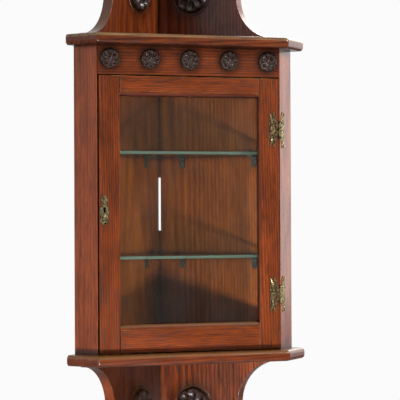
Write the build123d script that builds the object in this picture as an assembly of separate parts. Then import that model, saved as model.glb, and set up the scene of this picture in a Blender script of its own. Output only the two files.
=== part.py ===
"""Hanging corner display cabinet with a glazed door, glass shelves and carved rosettes.

The origin is the foot of the back arris, which sits in the corner of the room.
+Z is up, the front faces -Y, and the two walls run forward from the origin at 45 degrees.
"""
from build123d import *
import os
from math import cos, radians

# ---------------------------------------------------------------- driving sizes, millimetres

# Case
front_width = 330.0          # arris to arris across the flat front
side_width = 48.0            # outer face of each canted side, wall to arris
case_height = 531.0          # clear height between the bottom and top boards
side_thick = 19.0
front_thick = 19.0           # frieze, and the depth kept for the door
back_thick = 20.0
board_thick = 19.0           # top and bottom boards
front_overhang = 28.5        # of the two boards, past the front
side_overhang = 25.0         # of the two boards, past the canted sides
board_round = 7.0            # rounding of the boards' free edges
arris_round = 1.0            # easing of the other arrises that show
tongue_thick = 7.0           # back boards tongued into the sides
tongue_length = 8.0

# Shaped ends of the back boards, alike above and below the case
foot_lip = 5.5               # upright lip where the cove starts
cove_radius = 80.0
stem_straight = 9.5          # upright edge between cove and shoulder

# Slot through the back corner
slot_width = 4.0
slot_height = 99.0
slot_rise = 209.0            # its lower end, above the case floor

# Screw holes for the walls
wall_hole_radius = 2.5
wall_hole_reach = 140.0      # along each wall from the corner
wall_hole_drop = 25.0        # below the case ceiling

# Frieze
frieze_height = 50.0
frieze_rosette_count = 5
frieze_rosette_radius = 17.0
frieze_rosette_end = 22.0     # end of the frieze to the nearest rosette's centre
frieze_rosette_rise = 27.5   # centre above the frieze's lower edge

# Carved rosettes
petal_count = 8
rosette_seat_depth = 3.0
seat_clearance = 0.1
frieze_rosette_proud = 4.0   # height of the crown above the wood it is let into
large_rosette_proud = 6.0
large_rosette_radius = 34.5
ring_radius = 38.5           # turned groove round each large rosette
ring_groove_radius = 1.0

# Door frame
lock_side_gap = 2.2
hinge_side_gap = 1.0
door_top_gap = 2.0
door_bottom_gap = 2.0
stop_clearance = 0.3         # between the shut door and its stops
stile_width = 37.5
top_rail_height = 35.0
bottom_rail_height = 48.0
stile_round = 2.5            # rounding of each stile's edge beside the glass
moulding_width = 8.0
moulding_depth = 6.5
moulding_quirk = 0.8
sight_depth = 9.5            # front face to the glass
rebate_width = 7.0
tenon_length = 25.0
tenon_thick = 7.0
tenon_setback = 5.0          # front face to the tenon
tenon_shoulder = 6.0

# Glazing
door_glass_thick = 3.0
door_glass_clearance = 0.5
bead_width = 6.0
bead_thick = 5.0
bead_round = 2.0
bead_pins_per_side = 4

# Shelves
shelf_thick = 6.0
shelf_clearance = 1.0        # to the back boards and sides
shelf_setback = 28.0         # front plane of the case to the shelf's edge
shelf_edge_chamfer = 0.5
lower_shelf_rise = 161.5     # underside above the case floor
upper_shelf_rise = 345.0
bracket_front_inset = 45.3   # back board's front edge to the front bracket's middle
bracket_rear_reach = 69.0    # corner to the rear bracket's middle, along the wall
bracket_width = 10.0
bracket_drop = 20.0
bracket_reach = 18.0
bracket_thick = 2.0
bracket_round = 3.0

# Door stops
stop_length = 200.0
stop_thick = 12.0
stop_lap = 7.0               # behind the door
upper_stop_height = 26.0

# Hinges
top_hinge_drop = 90.5        # door's top edge to the hinge's centre
bottom_hinge_rise = 95.5     # door's bottom edge to the hinge's centre
leaf_thick = 1.2
leaf_reach = 21.0            # axis to the leaf's far edge
leaf_half_height = 32.0
knuckle_radius = 2.6
barrel_length = 22.0
centre_knuckle_length = 10.4
moving_clearance = 0.3       # between parts that turn past each other
hinge_pin_radius = 1.3
running_clearance = 0.05
finial_radius = 2.2

# Lock and escutcheon
keyhole_backset = 9.0        # door's edge to the keyhole
keyhole_rise = 248.5         # door's bottom edge to the key pin
keyhole_radius = 2.7
keyhole_slot_width = 3.0
keyhole_slot_drop = 8.0
lock_width = 27.0
lock_height = 40.0
lock_depth = 10.0
lock_wall = 1.5
lock_plate_lap = 8.0         # of the back plate, above and below the lock case
key_pin_radius = 1.2
bolt_length = 19.0
bolt_height = 9.0
bolt_thick = 4.5
bolt_lift = 3.5              # key pin to the bolt's underside
bolt_notch = 5.0
bolt_travel = 6.0
bolt_clearance = 0.3
bolt_mortise_margin = 1.0
escutcheon_thick = 1.0
escutcheon_half_width = 7.9
escutcheon_half_height = 25.5
escutcheon_drop = 2.5        # key pin to the escutcheon's middle

# Fasteners
nail_radius = 1.0
nail_length = 42.0
nail_head_radius = 2.0
nail_head_thick = 1.0
back_screw_radius = 2.0
back_screw_length = 45.0
back_screw_head_radius = 4.0
back_screw_head_thick = 2.5
small_screw_radius = 0.9
small_screw_length = 8.0
small_screw_head_radius = 1.8
small_screw_head_height = 1.0
bracket_screw_radius = 1.5
bracket_screw_length = 14.0
bracket_screw_head_radius = 3.0
bracket_screw_head_height = 1.6
pin_radius = 0.6
pin_length = 9.0
pin_head_radius = 1.0
pin_head_height = 0.6
fastener_clearance = 0.05

# ---------------------------------------------------------------- sizes that follow

cos45 = cos(radians(45))
wall_length = front_width / 2 / cos45 + side_width
front_y = -(wall_length + side_width) * cos45
board_reach = wall_length - side_thick
bracket_front_reach = board_reach - bracket_front_inset
stem_width = board_reach - cove_radius
shoulder_radius = stem_width / 2
rosette_rise = foot_lip + cove_radius + stem_straight
end_height = rosette_rise + shoulder_radius
floor_z = end_height + board_thick
ceiling_z = floor_z + case_height
middle_z = floor_z + case_height / 2

door_thick = front_thick - stop_clearance
door_left = -front_width / 2 + lock_side_gap
door_right = front_width / 2 - hinge_side_gap
door_bottom = floor_z + door_bottom_gap
frieze_bottom = ceiling_z - frieze_height
door_top = frieze_bottom - door_top_gap
sight_left = door_left + stile_width
sight_right = door_right - stile_width
sight_bottom = door_bottom + bottom_rail_height
sight_top = door_top - top_rail_height
keyhole_x = door_left + keyhole_backset
keyhole_z = door_bottom + keyhole_rise
escutcheon_z = keyhole_z - escutcheon_drop

# The hinge axis stands as far off the door's face as off the side's.
axis_height = knuckle_radius + moving_clearance
axis_past_arris = axis_height * (1 / cos45 - 1)
leaf_root = knuckle_radius + 2 * moving_clearance
hinge_centres = {"top": door_top - top_hinge_drop, "bottom": door_bottom + bottom_hinge_rise}

# Local frame on the right-hand wall: X runs from the corner along the wall, Y up, Z off the wall.
right_wall = Plane(origin=(0, 0, 0), x_dir=(1, -1, 0), z_dir=(-1, -1, 0))
# Frames on the door's face and on the right-hand side's outer face, both at the hinge axis' foot:
# X runs away from the axis, Y is vertical, Z off the face.
door_face = Plane(origin=(front_width / 2 + axis_past_arris, front_y, 0), x_dir=(-1, 0, 0), z_dir=(0, -1, 0))
side_face = Plane(
    origin=(front_width / 2 - axis_past_arris * cos45, front_y - axis_past_arris * cos45, 0),
    x_dir=(1, 1, 0), z_dir=(1, -1, 0))


# ---------------------------------------------------------------- helpers

def on_left(shape):
    """The same piece on the other side of the cabinet."""
    return mirror(shape, about=Plane.YZ)


def plan(along, off, side=1):
    """Plan position of a point that lies along a wall from the corner and off it."""
    return (side * (along - off) * cos45, -(along + off) * cos45)


def prism(points, low, high):
    """Upright prism over a list of plan points."""
    return Pos(0, 0, low) * extrude(Polygon(*points), high - low, dir=(0, 0, 1))


def block(x_range, y_range, z_range):
    """Box between two values on each axis."""
    low = [min(pair) for pair in (x_range, y_range, z_range)]
    high = [max(pair) for pair in (x_range, y_range, z_range)]
    size = [top - bottom for bottom, top in zip(low, high)]
    return Pos(*low) * Box(*size, align=(Align.MIN, Align.MIN, Align.MIN))


def frame_at(point, outward, along=(0, 0, 1)):
    """Frame at a point with Z along the outward direction."""
    return Plane(origin=point, x_dir=along, z_dir=outward)


def flush_fastener(radius, length, head_radius, head_thick):
    """Nail or screw whose head is flush with the surface at Z = 0."""
    shank = Pos(0, 0, -length / 2) * Cylinder(radius, length)
    return shank + Pos(0, 0, -head_thick / 2) * Cylinder(head_radius, head_thick)


def round_fastener(radius, length, head_radius, head_height):
    """Screw or pin whose domed head stands on the surface at Z = 0."""
    head = Pos(0, 0, head_height / 2) * Cylinder(head_radius, head_height)
    head = fillet(head.edges().group_by(Axis.Z)[-1], head_height * 0.9)
    return Pos(0, 0, -length / 2) * Cylinder(radius, length) + head


def fasten(hosts, frames, fastener, hole):
    """Cut the hole out of each host at each frame, and return the group of fasteners."""
    for name in hosts:
        for frame in frames:
            pieces[name] = pieces[name] - frame * hole
    return Compound([(frame * fastener).solid() for frame in frames])


# ---------------------------------------------------------------- carved rosettes

def pyramid(outline, apex):
    """Solid with a flat outline and one more point."""
    neighbours = zip(outline, outline[1:] + outline[:1])
    sides = [Wire.make_polygon([first, second, apex]) for first, second in neighbours]
    return Solid(Shell([Face(Wire.make_polygon(outline))] + [Face(side) for side in sides]))


def rosette(radius, proud):
    """Chip-carved flower with a boss and a notched rim, its back at Z = 0."""
    crown = rosette_seat_depth + proud
    dish = crown - proud * 0.45
    shoulder = rosette_seat_depth + proud * 0.3
    profile = Polyline(
        (0, 0), (radius, 0), (radius, shoulder),
        (radius * 0.88, crown), (radius * 0.25, dish), (0, dish), (0, 0))
    body = revolve(Plane.XZ * make_face(profile), Axis.Z)
    boss = radius * 0.22
    body += Pos(0, 0, dish) * Sphere(boss) & Pos(0, 0, crown / 2) * Cylinder(boss, crown)
    above = crown + 1
    hollow = pyramid(
        [(radius * 0.05, 0, above), (radius * 0.62, radius * 0.34, above),
         (radius * 0.93, 0, above), (radius * 0.62, -radius * 0.34, above)],
        (radius * 0.6, 0, crown - proud * 0.95))
    notch = pyramid(
        [
            (radius * 0.86, 0, above),
            (radius * 1.1, radius * 0.14, above),
            (radius * 1.1, -radius * 0.14, above)],
        (radius * 1.02, 0, rosette_seat_depth))
    for number in range(petal_count):
        body -= Rot(0, 0, number * 360 / petal_count) * hollow
        body -= Rot(0, 0, (number + 0.5) * 360 / petal_count) * notch
    return body


def rosette_seat(radius):
    """Space that a rosette is let into, below Z = 0."""
    return Pos(0, 0, -rosette_seat_depth / 2) * Cylinder(radius + seat_clearance, rosette_seat_depth)


# ---------------------------------------------------------------- case

def back_board(inner_edge):
    """Right-hand back board in the wall's frame, drawn about its own mid height."""
    foot = case_height / 2 + board_thick
    cove_top = foot + foot_lip + cove_radius
    shoulder = foot + rosette_rise
    crest = foot + end_height
    half = Polyline((inner_edge, 0), (board_reach, 0), (board_reach, foot + foot_lip))
    half += CenterArc((board_reach, cove_top), cove_radius, 270, -90)
    half += Line((stem_width, cove_top), (stem_width, shoulder))
    half += CenterArc((shoulder_radius, shoulder), shoulder_radius, 0, 90)
    half += Polyline((shoulder_radius, crest), (inner_edge, crest), (inner_edge, 0))
    face = make_face(half)
    board = extrude(face + mirror(face, about=Plane.XZ), back_thick, dir=(0, 0, 1))
    upper = board.edges().group_by(Axis.Z)[-1]
    shaped = [edge for edge in upper if abs(edge.center().Y) > foot + foot_lip / 2]
    board = fillet([edge for edge in shaped if edge.center().X > inner_edge + 1], arris_round)
    tongue = Box(tongue_length, case_height, tongue_thick)
    board += Pos(board_reach + tongue_length / 2, 0, back_thick / 2) * tongue
    for end in (-1, 1):
        centre = Pos(shoulder_radius, end * shoulder, back_thick)
        board -= centre * rosette_seat(large_rosette_radius)
        board -= centre * Torus(ring_radius, ring_groove_radius)
    hole_height = case_height / 2 - wall_hole_drop
    board -= Pos(wall_hole_reach, hole_height, back_thick / 2) * Cylinder(wall_hole_radius, 2 * back_thick)
    return Pos(0, 0, middle_z) * (right_wall * board)


def corner_slot():
    """Flat cut across the back arris, deep enough to open a slot at the inner corner."""
    slot_front = -2 * back_thick * cos45 - slot_width / 2
    low = floor_z + slot_rise
    return block((-2 * back_thick, 2 * back_thick), (slot_front, back_thick), (low, low + slot_height))


def side_panel():
    """Right-hand canted side, square to the wall, with its front edge square to the front."""
    points = [
        plan(board_reach, 0), plan(wall_length, 0),
        plan(wall_length, side_width), plan(board_reach, side_width - side_thick)]
    panel = prism(points, floor_z, ceiling_z)
    arris = panel.edges().filter_by(Axis.Z).sort_by(Axis.Y)[0]
    panel = fillet(arris, arris_round)
    tongue = Box(tongue_length, case_height, tongue_thick)
    tongue = Pos(board_reach + tongue_length / 2, 0, back_thick / 2) * tongue
    return panel - Pos(0, 0, middle_z) * (right_wall * tongue)


def overhanging_board(low):
    """Five-sided top or bottom board, before it is notched round the back boards."""
    edge = wall_length + side_overhang
    front_corner = (front_overhang - front_y) / cos45 - edge
    points = [
        (0, 0), plan(edge, 0), plan(edge, front_corner),
        plan(edge, front_corner, -1), plan(edge, 0, -1)]
    board = prism(points, low, low + board_thick)
    free = [line for line in board.edges() if -line.center().Y - abs(line.center().X) > 1]
    return fillet(free, board_round)


def frieze():
    """Rail above the door, with a row of rosette seats."""
    rail = block(
        (-front_width / 2, front_width / 2), (front_y, front_y + front_thick), (frieze_bottom, ceiling_z))
    lower_arris = rail.edges().filter_by(Axis.X).group_by(Axis.Z)[0].sort_by(Axis.Y)[0]
    rail = fillet(lower_arris, arris_round)
    for frame in frieze_rosette_frames():
        rail -= frame * rosette_seat(frieze_rosette_radius)
    return rail


def frieze_rosette_frames():
    """Frames on the frieze's face at the centres of its rosettes, left to right."""
    first = frieze_rosette_end - front_width / 2
    pitch = -2 * first / (frieze_rosette_count - 1)
    height = frieze_bottom + frieze_rosette_rise
    return [
        frame_at((first + number * pitch, front_y, height), (0, -1, 0))
        for number in range(frieze_rosette_count)]


def shelf(rise):
    """Five-sided pane that fills the case behind the door."""
    inner = back_thick + shelf_clearance
    outer = board_reach - shelf_clearance
    front = -(front_y + shelf_setback) / cos45 - outer
    points = [
        plan(inner, inner), plan(outer, inner), plan(outer, front),
        plan(outer, front, -1), plan(outer, inner, -1)]
    pane = prism(points, floor_z + rise, floor_z + rise + shelf_thick)
    return chamfer(pane.edges(), shelf_edge_chamfer)


def shelf_bracket(rise, reach):
    """Angle bracket on the right-hand back board, under a shelf."""
    top = floor_z + rise
    upright = Pos(reach, top - bracket_drop / 2, back_thick + bracket_thick / 2) * Box(
        bracket_width, bracket_drop, bracket_thick)
    lower_corners = upright.edges().filter_by(Axis.Z).group_by(Axis.Y)[0]
    upright = fillet(lower_corners, bracket_round)
    ledge = Pos(reach, top - bracket_thick / 2, back_thick + bracket_reach / 2) * Box(
        bracket_width, bracket_thick, bracket_reach)
    return right_wall * (upright + ledge)


def bracket_screw_frame(rise, reach):
    """Frame on a bracket's upright, at its screw."""
    height = floor_z + rise - bracket_drop * 0.6
    along, outward = plan(reach, back_thick + bracket_thick), (-1, -1, 0)
    return frame_at((*along, height), outward)


# ---------------------------------------------------------------- door

def stile(outer_x, inner_x):
    """Upright of the door frame, rebated for the glass and mortised for the rails."""
    body = block((outer_x, inner_x), (front_y, front_y + door_thick), (door_bottom, door_top))
    front_edges = body.edges().filter_by(Axis.Z).group_by(Axis.Y)[0]
    by_reach = sorted(front_edges, key=lambda edge: abs(edge.center().X))
    body = fillet(by_reach[0], stile_round)
    outer_edge = [edge for edge in body.edges().filter_by(Axis.Z).group_by(Axis.Y)[0]
                  if abs(edge.center().X - outer_x) < arris_round]
    body = fillet(outer_edge, arris_round)
    away = 1 if inner_x < outer_x else -1
    body -= block(
        (inner_x, inner_x + away * rebate_width), (front_y + sight_depth, front_y + door_thick),
        (sight_bottom - rebate_width, sight_top + rebate_width))
    for low, high in tenon_heights():
        body -= block((inner_x, inner_x + away * tenon_length), tenon_depths(), (low, high))
    return body


def tenon_depths():
    """Front and back faces of the tenons."""
    return (front_y + tenon_setback, front_y + tenon_setback + tenon_thick)


def tenon_heights():
    """Lower and upper faces of the bottom and top rails' tenons."""
    bottom = (door_bottom + tenon_shoulder, sight_bottom - rebate_width - 1)
    top = (sight_top + rebate_width + 1, door_top - tenon_shoulder)
    return (bottom, top)


def rail(height, frame, tenon):
    """Rail with a moulded sight edge and a rebate, tenoned into both stiles.

    The frame lies on the sight edge at the front face: X runs back, Y out of the sight edge.
    """
    edge = Polyline((0, -height), (0, -moulding_width), (moulding_quirk, -moulding_width))
    bulge = (moulding_depth - (moulding_depth - moulding_quirk) * cos45, -moulding_width * (1 - cos45))
    edge += ThreePointArc((moulding_quirk, -moulding_width), bulge, (moulding_depth, 0))
    edge += Polyline(
        (moulding_depth, 0), (sight_depth, 0), (sight_depth, -rebate_width),
        (door_thick, -rebate_width), (door_thick, -height), (0, -height))
    body = frame * extrude(make_face(edge), sight_right - sight_left, dir=(0, 0, 1))
    tenons = (sight_left - tenon_length, sight_right + tenon_length)
    return body + block(tenons, tenon_depths(), tenon)


def bead(name):
    """Mitred bead that holds the glass on one side of the rebate."""
    left, right = sight_left - rebate_width, sight_right + rebate_width
    low, high = sight_bottom - rebate_width, sight_top + rebate_width
    outer = {
        "bottom": ((left, low), (right, low)), "top": ((right, high), (left, high)),
        "left": ((left, high), (left, low)), "right": ((right, low), (right, high))}[name]
    inner = [
        (x + (bead_width if x == left else -bead_width), z + (bead_width if z == low else -bead_width))
        for x, z in reversed(outer)]
    back_of_glass = front_y + sight_depth + door_glass_thick
    frame = Plane(origin=(0, back_of_glass, 0), x_dir=(1, 0, 0), z_dir=(0, -1, 0))
    body = frame * extrude(Polygon(*outer, *inner), bead_thick, dir=(0, 0, -1))
    middle = ((left + right) / 2, (low + high) / 2)
    rear = body.edges().group_by(Axis.Y)[-1]
    inner_edge = rear.sort_by(
        lambda edge: abs(edge.center().X - middle[0]) + abs(edge.center().Z - middle[1]))[0]
    return fillet(inner_edge, bead_round)


def bead_pin_frames():
    """Frames on the beads' inner faces, with Z pointing into the opening."""
    depth = front_y + sight_depth + door_glass_thick + bead_thick / 2
    frames = []
    for number in range(bead_pins_per_side):
        share = (number + 1) / (bead_pins_per_side + 1)
        x = sight_left + share * (sight_right - sight_left)
        z = sight_bottom + share * (sight_top - sight_bottom)
        step = rebate_width - bead_width
        frames.append(frame_at((x, depth, sight_bottom - step), (0, 0, 1), (1, 0, 0)))
        frames.append(frame_at((x, depth, sight_top + step), (0, 0, -1), (1, 0, 0)))
        frames.append(frame_at((sight_left - step, depth, z), (1, 0, 0)))
        frames.append(frame_at((sight_right + step, depth, z), (-1, 0, 0)))
    return frames


# ---------------------------------------------------------------- hinges

def leaf_outline():
    """Butterfly wing, pierced and with a forked tip above and below. X runs from the axis, Y is vertical."""
    reach, half = leaf_reach, leaf_half_height
    fork, inner_tip, outer_tip = (reach * 0.67, half * 0.66), (reach * 0.6, half), (reach, half * 0.95)
    edge = Polyline((leaf_root, 0), (leaf_root, barrel_length * 0.42))
    edge += ThreePointArc(edge @ 1, (reach * 0.27, half * 0.42), (reach * 0.4, half * 0.6))
    edge += ThreePointArc(edge @ 1, (reach * 0.44, half * 0.82), inner_tip)
    edge += ThreePointArc(inner_tip, (reach * 0.6, half * 0.83), fork)
    edge += ThreePointArc(fork, (reach * 0.8, half * 0.82), outer_tip)
    edge += ThreePointArc(outer_tip, (reach * 0.9, half * 0.76), (reach * 0.84, half * 0.6))
    edge += ThreePointArc(edge @ 1, (reach * 0.99, half * 0.38), (reach * 0.87, half * 0.14))
    edge += ThreePointArc(edge @ 1, (reach * 0.9, half * 0.07), (reach * 0.9, 0))
    edge += Line(edge @ 1, (leaf_root, 0))
    wing = make_face(edge)
    windows = [                                # across, up, half length, half width, turn
        (0.43, 0.17, 0.17, 0.11, 60), (0.41, 0.38, 0.15, 0.07, 60), (0.585, 0.42, 0.14, 0.05, 90),
        (0.53, 0.68, 0.17, 0.06, 78), (0.86, 0.36, 0.2, 0.065, 82)]
    for across, up, length, width, turn in windows:
        wing -= Pos(reach * across, half * up) * (Rot(0, 0, turn) * Ellipse(reach * length, reach * width))
    return wing + mirror(wing, about=Plane.XZ)


def leaf(knuckles):
    """Hinge leaf on its face, with knuckles between the given heights."""
    body = extrude(leaf_outline(), leaf_thick, dir=(0, 0, 1))
    barrel = Rot(90, 0, 0) * Cylinder(knuckle_radius, 1)
    for low, high in knuckles:
        middle, length = (low + high) / 2, high - low
        barrel = Rot(90, 0, 0) * Cylinder(knuckle_radius, length)
        body += Pos(0, middle, axis_height) * barrel
        body += Pos(leaf_root / 2 + 1, middle, (leaf_thick + moving_clearance) / 2) * Box(
            leaf_root + 2, length, leaf_thick - moving_clearance)
    bore = Rot(90, 0, 0) * Cylinder(hinge_pin_radius + running_clearance, 2 * barrel_length)
    return body - Pos(0, 0, axis_height) * bore


def hinge_pin():
    """Pin with a ball finial at each end."""
    end = barrel_length / 2 + finial_radius * 0.9
    pin = Cylinder(hinge_pin_radius, 2 * end)
    for sign in (-1, 1):
        pin += Pos(0, 0, sign * end) * Sphere(finial_radius)
    return Pos(front_width / 2 + axis_past_arris, front_y - axis_height, 0) * pin


def leaf_screw_places():
    """Screw positions on a leaf, from the axis' foot and from its mid height."""
    return [
        (leaf_reach * across, sign * leaf_half_height * up)
        for sign in (-1, 1) for across, up in ((0.68, 0.22), (0.74, 0.54))]


# ---------------------------------------------------------------- lock and escutcheon

def keyhole(margin=0.0):
    """Keyhole outline about the key pin."""
    shape = Circle(keyhole_radius + margin)
    slot_length = keyhole_slot_drop + margin
    return shape + Pos(0, -slot_length / 2) * Rectangle(keyhole_slot_width + 2 * margin, slot_length)


def escutcheon_outline():
    """Pierced plate with a narrow crest and a broader lobed foot, about its own centre."""
    wide, tall = escutcheon_half_width, escutcheon_half_height
    crest = Line((0, 0), (wide * 0.84, 0))
    crest += ThreePointArc(crest @ 1, (wide * 0.95, tall * 0.1), (wide * 0.72, tall * 0.2))
    crest += ThreePointArc(crest @ 1, (wide * 0.52, tall * 0.36), (wide * 0.62, tall * 0.56))
    crest += ThreePointArc(crest @ 1, (wide * 0.7, tall * 0.74), (wide * 0.42, tall * 0.82))
    crest += ThreePointArc(crest @ 1, (wide * 0.34, tall * 0.95), (0, tall))
    crest += Line((0, tall), (0, 0))
    foot = Line((0, 0), (wide * 0.84, 0))
    foot += ThreePointArc(foot @ 1, (wide, tall * -0.16), (wide * 0.86, tall * -0.32))
    foot += ThreePointArc(foot @ 1, (wide * 0.72, tall * -0.5), (wide * 0.9, tall * -0.64))
    foot += ThreePointArc(foot @ 1, (wide, tall * -0.78), (wide * 0.5, tall * -0.86))
    foot += ThreePointArc(foot @ 1, (wide * 0.36, tall * -0.97), (0, -tall))
    foot += Line((0, -tall), (0, 0))
    half = make_face(crest) + make_face(foot)
    half -= Pos(wide * 0.6, tall * -0.3) * (Rot(0, 0, 70) * Ellipse(wide * 0.28, wide * 0.13))
    half -= Pos(wide * 0.42, tall * -0.66) * (Rot(0, 0, 60) * Ellipse(wide * 0.24, wide * 0.12))
    half -= Pos(wide * 0.34, tall * 0.42) * (Rot(0, 0, 90) * Ellipse(wide * 0.3, wide * 0.1))
    return half + mirror(half, about=Plane.YZ)


stile_face = Plane(origin=(keyhole_x, front_y, keyhole_z), x_dir=(1, 0, 0), z_dir=(0, -1, 0))
lock_front = front_y + door_thick - lock_depth
plate_front = front_y + door_thick - lock_wall
lock_heights = (keyhole_z - lock_height / 2, keyhole_z + lock_height / 2)


def lock_plate_space():
    """Back plate of the lock, flush with the back of the stile."""
    heights = (lock_heights[0] - lock_plate_lap, lock_heights[1] + lock_plate_lap)
    return block((door_left, door_left + lock_width), (plate_front, front_y + door_thick), heights)


def lock_case_space():
    """Outside of the lock's box."""
    return block((door_left, door_left + lock_width), (lock_front, plate_front), lock_heights)


def bolt_section(margin=0.0):
    """Depths and heights of the bolt, with a margin all round."""
    middle = (lock_front + lock_wall + plate_front) / 2
    depths = (middle - bolt_thick / 2 - margin, middle + bolt_thick / 2 + margin)
    low = keyhole_z + bolt_lift
    return depths, (low - margin, low + bolt_height + margin)


def lock_case():
    """Box open at the back, with a slot for the bolt and a keyhole."""
    inside = block(
        (door_left + lock_wall, door_left + lock_width - lock_wall), (lock_front + lock_wall, plate_front),
        (lock_heights[0] + lock_wall, lock_heights[1] - lock_wall))
    slot = block((door_left - 1, door_left + 2 * lock_wall), *bolt_section(bolt_clearance))
    opening = extrude(keyhole(), door_thick, dir=(0, 0, -1)).moved(
        Location((0, 0, -(lock_front - front_y) + lock_wall)))
    return lock_case_space() - inside - slot - stile_face * opening


def lock_bolt():
    """Bolt, drawn back flush with the door's edge, notched for the key's bit."""
    start = door_left + bolt_clearance
    bolt = block((start, start + bolt_length), *bolt_section())
    depths, heights = bolt_section()
    notch_x = (keyhole_x - bolt_notch / 2, keyhole_x + bolt_notch / 2)
    return bolt - block(notch_x, depths, (heights[0], heights[0] + bolt_height / 3))


def bolt_mortise():
    """Mortise in the left side that the bolt shoots into."""
    depth = bolt_travel - lock_side_gap + bolt_mortise_margin
    return block((-front_width / 2 - depth, -front_width / 2), *bolt_section(bolt_mortise_margin))


# ---------------------------------------------------------------- the pieces

pieces = {}

# Back boards: the left one runs through to the corner and the right one butts against it.
pieces["left_back_board"] = on_left(back_board(0.0)) - corner_slot()
pieces["right_back_board"] = back_board(back_thick) - corner_slot()
pieces["left_side_panel"] = on_left(side_panel()) - bolt_mortise()
pieces["right_side_panel"] = side_panel()
for name, low in (("bottom_board", end_height), ("top_board", ceiling_z)):
    pieces[name] = overhanging_board(low) - pieces["left_back_board"] - pieces["right_back_board"]
pieces["frieze"] = frieze()

# Rosettes
frieze_rosette = rosette(frieze_rosette_radius, frieze_rosette_proud)
for number, frame in enumerate(frieze_rosette_frames(), start=1):
    pieces[f"frieze_rosette_{number}"] = frame * (Pos(0, 0, -rosette_seat_depth) * frieze_rosette)
for end, height in (("lower", end_height - rosette_rise), ("upper", ceiling_z + board_thick + rosette_rise)):
    seat = (shoulder_radius, height, back_thick - rosette_seat_depth)
    carved = right_wall * (Pos(*seat) * rosette(large_rosette_radius, large_rosette_proud))
    pieces[f"{end}_right_rosette"] = carved
    pieces[f"{end}_left_rosette"] = on_left(carved)

# Shelves on their brackets
screw_frames = []
for level, rise in (("lower", lower_shelf_rise), ("upper", upper_shelf_rise)):
    pieces[f"{level}_glass_shelf"] = shelf(rise)
    for place, reach in (("front", bracket_front_reach), ("rear", bracket_rear_reach)):
        pieces[f"{level}_bracket_right_{place}"] = shelf_bracket(rise, reach)
        pieces[f"{level}_bracket_left_{place}"] = on_left(shelf_bracket(rise, reach))
bracket_screw = round_fastener(
    bracket_screw_radius, bracket_screw_length, bracket_screw_head_radius, bracket_screw_head_height)
bracket_screw_hole = Pos(0, 0, -bracket_screw_length / 2) * Cylinder(
    bracket_screw_radius + fastener_clearance, bracket_screw_length + 2 * fastener_clearance)
screws = []
for level, rise in (("lower", lower_shelf_rise), ("upper", upper_shelf_rise)):
    for place, reach in (("front", bracket_front_reach), ("rear", bracket_rear_reach)):
        frame = bracket_screw_frame(rise, reach)
        for side, turned in (("right", lambda shape: shape), ("left", on_left)):
            for host in (f"{level}_bracket_{side}_{place}", f"{side}_back_board"):
                pieces[host] = pieces[host] - turned(frame * bracket_screw_hole)
            screws.append(turned(frame * bracket_screw).solid())
pieces["shelf_bracket_screws"] = Compound(screws)

# Door stops, glued behind the frieze and to the floor
stop_depths = (front_y + front_thick, front_y + front_thick + stop_thick)
stop_widths = (-stop_length / 2, stop_length / 2)
upper_stop_heights = (door_top - stop_lap, door_top - stop_lap + upper_stop_height)
pieces["upper_door_stop"] = block(stop_widths, stop_depths, upper_stop_heights)
pieces["lower_door_stop"] = block(stop_widths, stop_depths, (floor_z, door_bottom + stop_lap))

# Door frame
pieces["door_left_stile"] = stile(door_left, sight_left)
pieces["door_right_stile"] = stile(door_right, sight_right)
bottom_tenon, top_tenon = tenon_heights()
sight_edge = Plane(origin=(sight_left, front_y, sight_bottom), x_dir=(0, 1, 0), z_dir=(1, 0, 0))
pieces["door_bottom_rail"] = rail(bottom_rail_height, sight_edge, bottom_tenon)
sight_edge = Plane(origin=(sight_right, front_y, sight_top), x_dir=(0, 1, 0), z_dir=(-1, 0, 0))
pieces["door_top_rail"] = rail(top_rail_height, sight_edge, top_tenon)

# Glass and beads
glass_reach = rebate_width - door_glass_clearance
pieces["door_glass"] = block(
    (sight_left - glass_reach, sight_right + glass_reach),
    (front_y + sight_depth, front_y + sight_depth + door_glass_thick),
    (sight_bottom - glass_reach, sight_top + glass_reach))
for name in ("bottom", "top", "left", "right"):
    pieces[f"glazing_bead_{name}"] = bead(name)
bead_pin = round_fastener(pin_radius, pin_length + bead_width, pin_head_radius, pin_head_height)
bead_pin_hole = Pos(0, 0, -(pin_length + bead_width) / 2) * Cylinder(
    pin_radius + fastener_clearance, pin_length + bead_width + 2 * fastener_clearance)
bead_hosts = [f"glazing_bead_{name}" for name in ("bottom", "top", "left", "right")]
door_frame = ["door_left_stile", "door_right_stile", "door_bottom_rail", "door_top_rail"]
pieces["glazing_bead_pins"] = fasten(bead_hosts + door_frame, bead_pin_frames(), bead_pin, bead_pin_hole)

# Hinges
centre = centre_knuckle_length / 2
outer_knuckles = [
    (centre + moving_clearance, barrel_length / 2), (-barrel_length / 2, -centre - moving_clearance)]
door_leaf_frames, case_leaf_frames = [], []
for name, height in hinge_centres.items():
    pieces[f"{name}_hinge_door_leaf"] = Pos(0, 0, height) * (door_face * leaf([(-centre, centre)]))
    pieces[f"{name}_hinge_case_leaf"] = Pos(0, 0, height) * (side_face * leaf(outer_knuckles))
    pieces[f"{name}_hinge_pin"] = Pos(0, 0, height) * hinge_pin()
    for across, up in leaf_screw_places():
        for face, frames in ((door_face, door_leaf_frames), (side_face, case_leaf_frames)):
            point = face.from_local_coords(Vector(across, up, leaf_thick)) + Vector(0, 0, height)
            frames.append(frame_at(point, face.z_dir))
leaf_screw = round_fastener(
    small_screw_radius, small_screw_length, small_screw_head_radius, small_screw_head_height)
leaf_screw_hole = Pos(0, 0, -small_screw_length / 2) * Cylinder(
    small_screw_radius + fastener_clearance, small_screw_length + 2 * fastener_clearance)
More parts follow.
